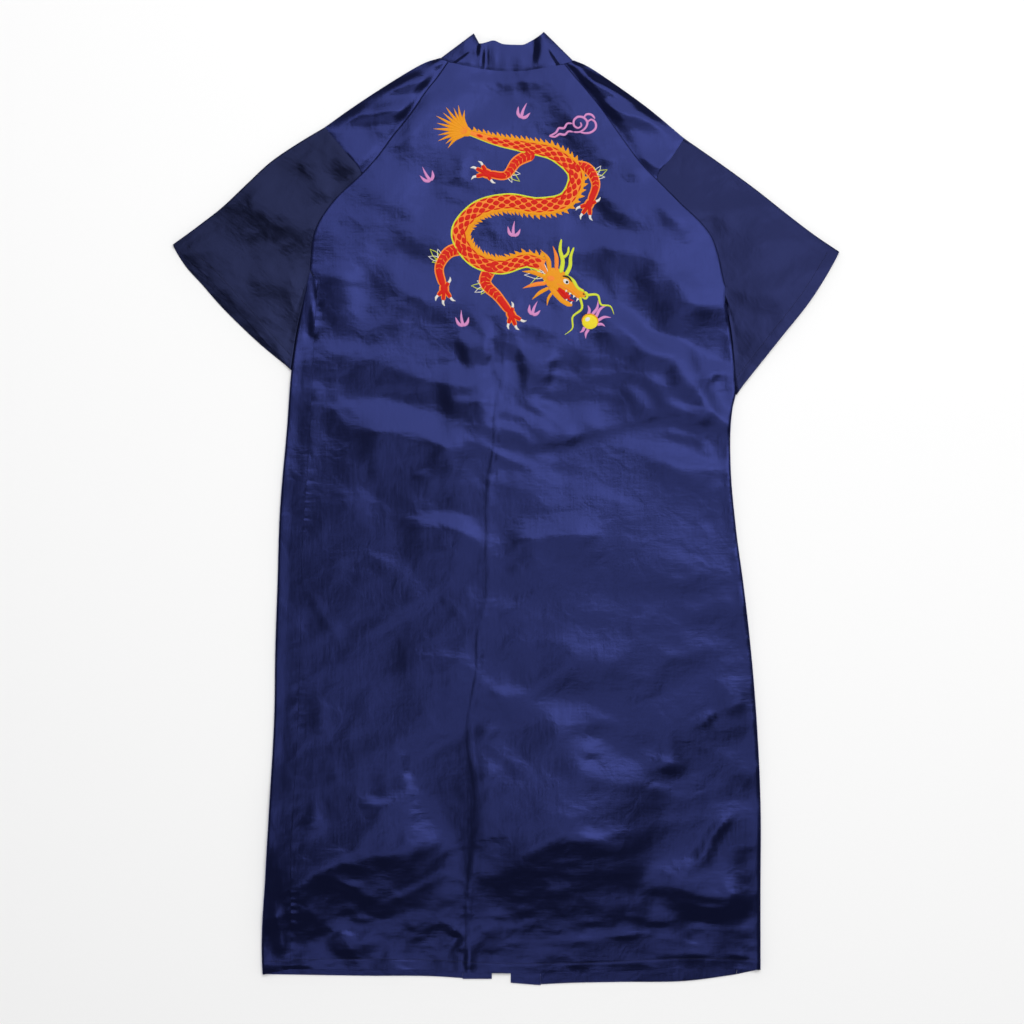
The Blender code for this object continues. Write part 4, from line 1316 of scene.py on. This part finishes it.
def stitchRow(piece, path):
    # straight stitches along a path on a piece's upper face, as points and faces
    path = np.asarray(path, float)
    length = apart(path[1:], path[:-1]).sum()
    count = int((length - 2 * sewing["fromEnd"]) / sewing["pitch"])
    line = alongLine(path, (sewing["fromEnd"] + sewing["pitch"] * (np.arange(count) + 0.5)) / length)
    surface = BVHTree.FromObject(piece, bpy.context.evaluated_depsgraph_get())
    sides = sewing["sides"]
    angles = np.linspace(0, 2 * math.pi, sides, endpoint=False)
    ring = np.stack([np.cos(angles) * sewing["wide"] / 2, np.sin(angles) * sewing["high"] / 2], axis=1)
    points = []
    faces = []
    for place, ahead in zip(line, unit(np.gradient(line, axis=0))):
        start = toRobeFrame([[*place, 100]])[0]
        hit = surface.ray_cast(Vector(start), Vector((0, 0, -1)))[0]
        if hit is None:
            continue
        first = len(points)
        for along, size, lift in sewing["sections"]:
            middle = place + ahead * along * sewing["stitch"]
            for across, up in ring * size:
                height = hit.z * 1000 + sewing["above"] + up + lift
                points.append([*(middle + toLeft(ahead) * across), height])
        faces += tubeFaces(first, 3, sides)
        faces.append([first + number for number in range(sides)][::-1])
        faces.append([first + 3 * sides + number for number in range(sides)])
    return points, faces


def makeStitches(name, rows):
    points = []
    faces = []
    for piece, path in rows:
        more, moreFaces = stitchRow(piece, path)
        faces += [[corner + len(points) for corner in face] for face in moreFaces]
        points += more
    stitches = addMesh(name, points, faces)
    selectOnly(stitches)
    bpy.ops.object.mode_set(mode="EDIT")
    bpy.ops.mesh.select_all(action="SELECT")
    bpy.ops.mesh.normals_make_consistent(inside=False)
    bpy.ops.object.mode_set(mode="OBJECT")
    stitches.select_set(False)
    print(name, "made with", len(stitches.data.polygons), "faces")
    return stitches


def besideCuff(sleeve):
    # the line of stitches inside a cuff
    line = alongLine(sleeve["cuff"], np.linspace(0.02, 0.98, 30))
    across = besideLine(line)
    across *= np.sign(across[:, :1]) * (-1 if sleeve["side"] == "R" else 1)
    return line + across * robe["hemDepth"]


hemRows = ((backPiece, backHem), (frontLeft, ((-306, 19), (-276, 18))))
stitchedPieces = {
    backPiece: makeStitches("hem_stitches", [
        (piece, [(across, up + robe["hemDepth"]) for across, up in row]) for piece, row in hemRows]),
}
for name, piece in sleevePieces.items():
    stitchedPieces[piece] = makeStitches(name + "_stitches", ((piece, besideCuff(sleeves[name])),))


def linearColour(hexColour):
    values = [int(hexColour[start:start + 2], 16) / 255 for start in (0, 2, 4)]
    return [v / 12.92 if v <= 0.04045 else ((v + 0.055) / 1.055) ** 2.4 for v in values] + [1.0]


def addNode(tree, kind, settings=None, links=None, output=0):
    # a node with its settings and values set and its inputs linked; gives one of its outputs
    node = tree.nodes.new("ShaderNode" + kind)
    for name, value in (settings or {}).items():
        if isinstance(name, int) or name in node.inputs:
            node.inputs[name].default_value = value
        else:
            setattr(node, name, value)
    for name, socket in (links or {}).items():
        tree.links.new(socket, node.inputs[name])
    return node.outputs[output] if node.outputs else None


def newMaterial(name):
    material = bpy.data.materials.new(name)
    material.use_nodes = True
    material.node_tree.nodes.clear()
    return material, material.node_tree


def addShader(tree, settings, links=None):
    shader = addNode(tree, "BsdfPrincipled", settings, links)
    addNode(tree, "OutputMaterial", links={"Surface": shader})


def inMillimetres(tree, place):
    return addNode(tree, "Mapping", {"Scale": (1000, 1000, 1000)}, {"Vector": place})


def addMix(tree, share, first, second):
    return addNode(tree, "Mix", {"data_type": "RGBA", 6: first, 7: second}, {"Factor": share}, 2)


def addBump(tree, height, strength, distance, below=None):
    links = {"Height": height, "Normal": below} if below else {"Height": height}
    return addNode(tree, "Bump", {"Strength": strength, "Distance": distance}, links)


satin = {
    "colour": "191d3e",
    "deepColour": "171b39",
    "metallic": 0.75,        # its gloss has the dye's colour, seen from any side
    "roughness": 0.235,
    "specular": 0.56,
    "tint": "7082ff",
    "sheenTint": "a8a0c8",
    "anisotropy": 0.6,
    "threadPitch": 0.9,      # real filaments lie 0.15 mm apart, too fine to show
    "weaveBump": 0.05,
    "streakBump": 0.22,
    "slubs": ((3.6, 34), (24, 4.2)),     # size across and along the threads, of the uneven yarns
    "crumple": 26.0,
    "crumpleBump": 0.25,
    "toneSize": 55,
}
waveWidth = 3.2      # a wave texture at scale 1 has about this many bands in one unit


def makeSatin(name, changes=None):
    # Polyester satin, woven with long bright floats on its face: soft highlights that stretch
    # across the threads and follow every slope, deep navy in between.
    values = dict(satin, **(changes or {}))
    material, tree = newMaterial(name)
    place = {"Vector": inMillimetres(tree, addNode(tree, "TexCoord", output="Object"))}
    tone = addNode(tree, "TexNoise", {"Scale": 1 / values["toneSize"], "Detail": 3.0, "Roughness": 0.5},
                   place)
    colour = addMix(tree, tone, linearColour(values["colour"]), linearColour(values["deepColour"]))
    crumple = addNode(tree, "TexNoise", {"Scale": 1 / values["crumple"], "Detail": 4.0,
                                         "Roughness": 0.45, "Distortion": 0.6}, place)
    normal = addBump(tree, crumple, values["crumpleBump"], 0.002)
    weave = addNode(tree, "TexWave", {"wave_type": "BANDS", "bands_direction": "X",
                                      "Scale": 1 / values["threadPitch"] / waveWidth, "Distortion": 1.5,
                                      "Detail": 2.0, "Detail Scale": 0.5}, place, "Fac")
    normal = addBump(tree, weave, values["weaveBump"], 0.0002, normal)
    threadsWay = addNode(tree, "UVMap", {"uv_map": "grain"})
    for wide, long in values["slubs"]:
        stretched = addNode(tree, "Mapping", {"Scale": (1000 / wide, 1000 / long, 1)},
                            {"Vector": threadsWay})
        streaks = addNode(tree, "TexNoise", {"Scale": 1.0, "Detail": 2.0, "Roughness": 0.6},
                          {"Vector": stretched})
        normal = addBump(tree, streaks, values["streakBump"], 0.0004, normal)
    grain = addNode(tree, "Tangent", {"direction_type": "UV_MAP", "uv_map": "grain"})
    addShader(tree, {"Metallic": values["metallic"], "Roughness": values["roughness"],
                     "Specular IOR Level": values["specular"],
                     "Specular Tint": linearColour(values["tint"]),
                     "Anisotropic": values["anisotropy"], "Sheen Weight": 0.05, "Sheen Roughness": 0.4,
                     "Sheen Tint": linearColour(values["sheenTint"])},
              {"Base Color": colour, "Normal": normal, "Tangent": grain})
    return material


bodySatin = makeSatin("navy polyester satin, woven")
for piece in clothPieces:
    if piece not in sleevePieces.values():
        piece.data.materials.append(bodySatin)
for name, piece in sleevePieces.items():
    # the sleeves get darker colours and half the body's gloss as painted shade, besides their turned
    # threads
    colour, deep = sleeves[name]["shadedColours"]
    shadedSleeve = {"colour": colour, "deepColour": deep, "specular": 0.28, "tint": "7a84f4"}
    piece.data.materials.append(makeSatin(name.replace("_", " ") + " satin, woven", shadedSleeve))

threadColours = {
    "orange": "f98a30",
    "red": "d41402",
    "gold": "ef9a12",
    "lime": "d6e03a",
    "yellow": "f2dc2c",
    "pink": "d88ec6",
    "white": "e8e4dc",
    "black": "10101c",
}
threadPitch = 0.9        # real threads are 0.4 mm wide, too fine to show


def makeThread(name, colour):
    # Rayon embroidery thread in satin stitch: strong colour, with fine ridges where the threads lie side
    # by side and painted shade in the grooves between them.
    material, tree = newMaterial(name)
    place = inMillimetres(tree, addNode(tree, "UVMap", {"uv_map": "grain"}))
    ridges = addNode(tree, "TexWave", {"wave_type": "BANDS", "bands_direction": "Y",
                                       "Scale": 1 / threadPitch / waveWidth, "Distortion": 1.2,
                                       "Detail": 1.0}, {"Vector": place}, "Fac")
    full = linearColour(colour)
    # painted shade: the colour is a fifth darker in the grooves between the thread ridges
    tone = addMix(tree, ridges, [value * 0.8 for value in full[:3]] + [1.0], full)
    addShader(tree, {"Roughness": 0.5, "Specular IOR Level": 0.2},
              {"Base Color": tone, "Normal": addBump(tree, ridges, 0.5, 0.0003)})
    return material


def makeSewingThread():
    # Spun polyester sewing thread: matt, a little darker than the cloth.
    material, tree = newMaterial("navy sewing thread, spun polyester")
    place = inMillimetres(tree, addNode(tree, "TexCoord", output="Object"))
    fuzz = addNode(tree, "TexNoise", {"Scale": 2.5, "Detail": 1.0}, {"Vector": place})
    tone = addMix(tree, fuzz, linearColour("0b0d18"), linearColour("15182c"))
    addShader(tree, {"Roughness": 0.75, "Specular IOR Level": 0.2}, {"Base Color": tone})
    return material


sewingThread = makeSewingThread()
for stitches in stitchedPieces.values():
    stitches.data.materials.append(sewingThread)
    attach(stitches, "root")
for colour, piece in threadPieces.items():
    piece.data.materials.append(makeThread("rayon thread, " + colour, threadColours[colour]))
    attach(piece, "root")
print("materials ready")

sheetFacts = {   # node, flat width and length of the cut, and its area, in metres
    "back_panel": ("back", 0.64, 1.19, 0.67),
    "front_left_panel": ("front_left", 0.30, 1.17, 0.27),
    "front_right_panel": ("front_right", 0.30, 1.17, 0.24),
    "neckband_strip": ("neckband", 0.036, 2.63, 0.09),
    "sleeve_left_tube": ("sleeve_left", 0.24, 0.44, 0.075),
    "sleeve_right_tube": ("sleeve_right", 0.24, 0.44, 0.07),
}
for piece in clothPieces:
    node, width, length, area = sheetFacts[piece.name]
    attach(piece, "root")
    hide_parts(node)
    sewnOn = list(threadPieces.values()) if piece == backPiece else []
    sewnOn += [stitchedPieces[piece]] if piece in stitchedPieces else []

studio = {
    "floor": 30,
    "ceiling": 0.08,
    "walls": 0.8,
    "softboxes": {     # places and sizes in metres
        "main": {"place": (0.6, 1.75, 4.3), "size": (3.9, 3.2), "watts": 172},
        "fill": {"place": (0.4, -0.32, 4.7), "size": (3.2, 1.24), "watts": 36},
    },
    "lens": 100,
    "sensor": 36,
    "camera": (0.00762, -0.0043, 3.6125),
}


def makeFloor():
    bpy.ops.mesh.primitive_plane_add(size=studio["floor"], location=(0, 0, -0.0006))
    floor = bpy.context.object
    floor.name = "floor"
    material, tree = newMaterial("white paper backdrop, matt")
    addShader(tree, {"Base Color": (0.9, 0.9, 0.9, 1), "Roughness": 0.9})
    floor.data.materials.append(material)


def addToScene(name, data, place):
    thing = bpy.data.objects.new(name, data)
    bpy.context.scene.collection.objects.link(thing)
    thing.location = place
    return thing


def makeStudio():
    # a white room with a dim ceiling, a big softbox towards the neckband and a weaker one overhead
    world = bpy.data.worlds.new("studio")
    bpy.context.scene.world = world
    world.use_nodes = True
    tree = world.node_tree
    direction = addNode(tree, "TexCoord", output="Generated")
    height = addNode(tree, "SeparateXYZ", links={"Vector": direction}, output="Z")
    strength = addNode(tree, "MapRange", {"To Min": studio["walls"], "To Max": studio["ceiling"]},
                       {"Value": height})
    background = tree.nodes["Background"]
    background.inputs["Color"].default_value = (1, 1, 1, 1)
    tree.links.new(strength, background.inputs["Strength"])
    for name, box in studio["softboxes"].items():
        light = bpy.data.lights.new(name, "AREA")
        light.shape = "RECTANGLE"
        light.size, light.size_y = box["size"]
        light.energy = box["watts"]
        lamp = addToScene(name, light, box["place"])
        lamp.rotation_euler = (-Vector(box["place"])).to_track_quat("-Z", "Y").to_euler()


def makeCamera():
    cameraData = bpy.data.cameras.new("camera")
    cameraData.lens = studio["lens"]
    cameraData.sensor_width = studio["sensor"]
    bpy.context.scene.camera = addToScene("camera", cameraData, studio["camera"])
    bpy.context.scene.view_settings.view_transform = "Standard"


makeFloor()
makeStudio()
makeCamera()
print("studio ready")
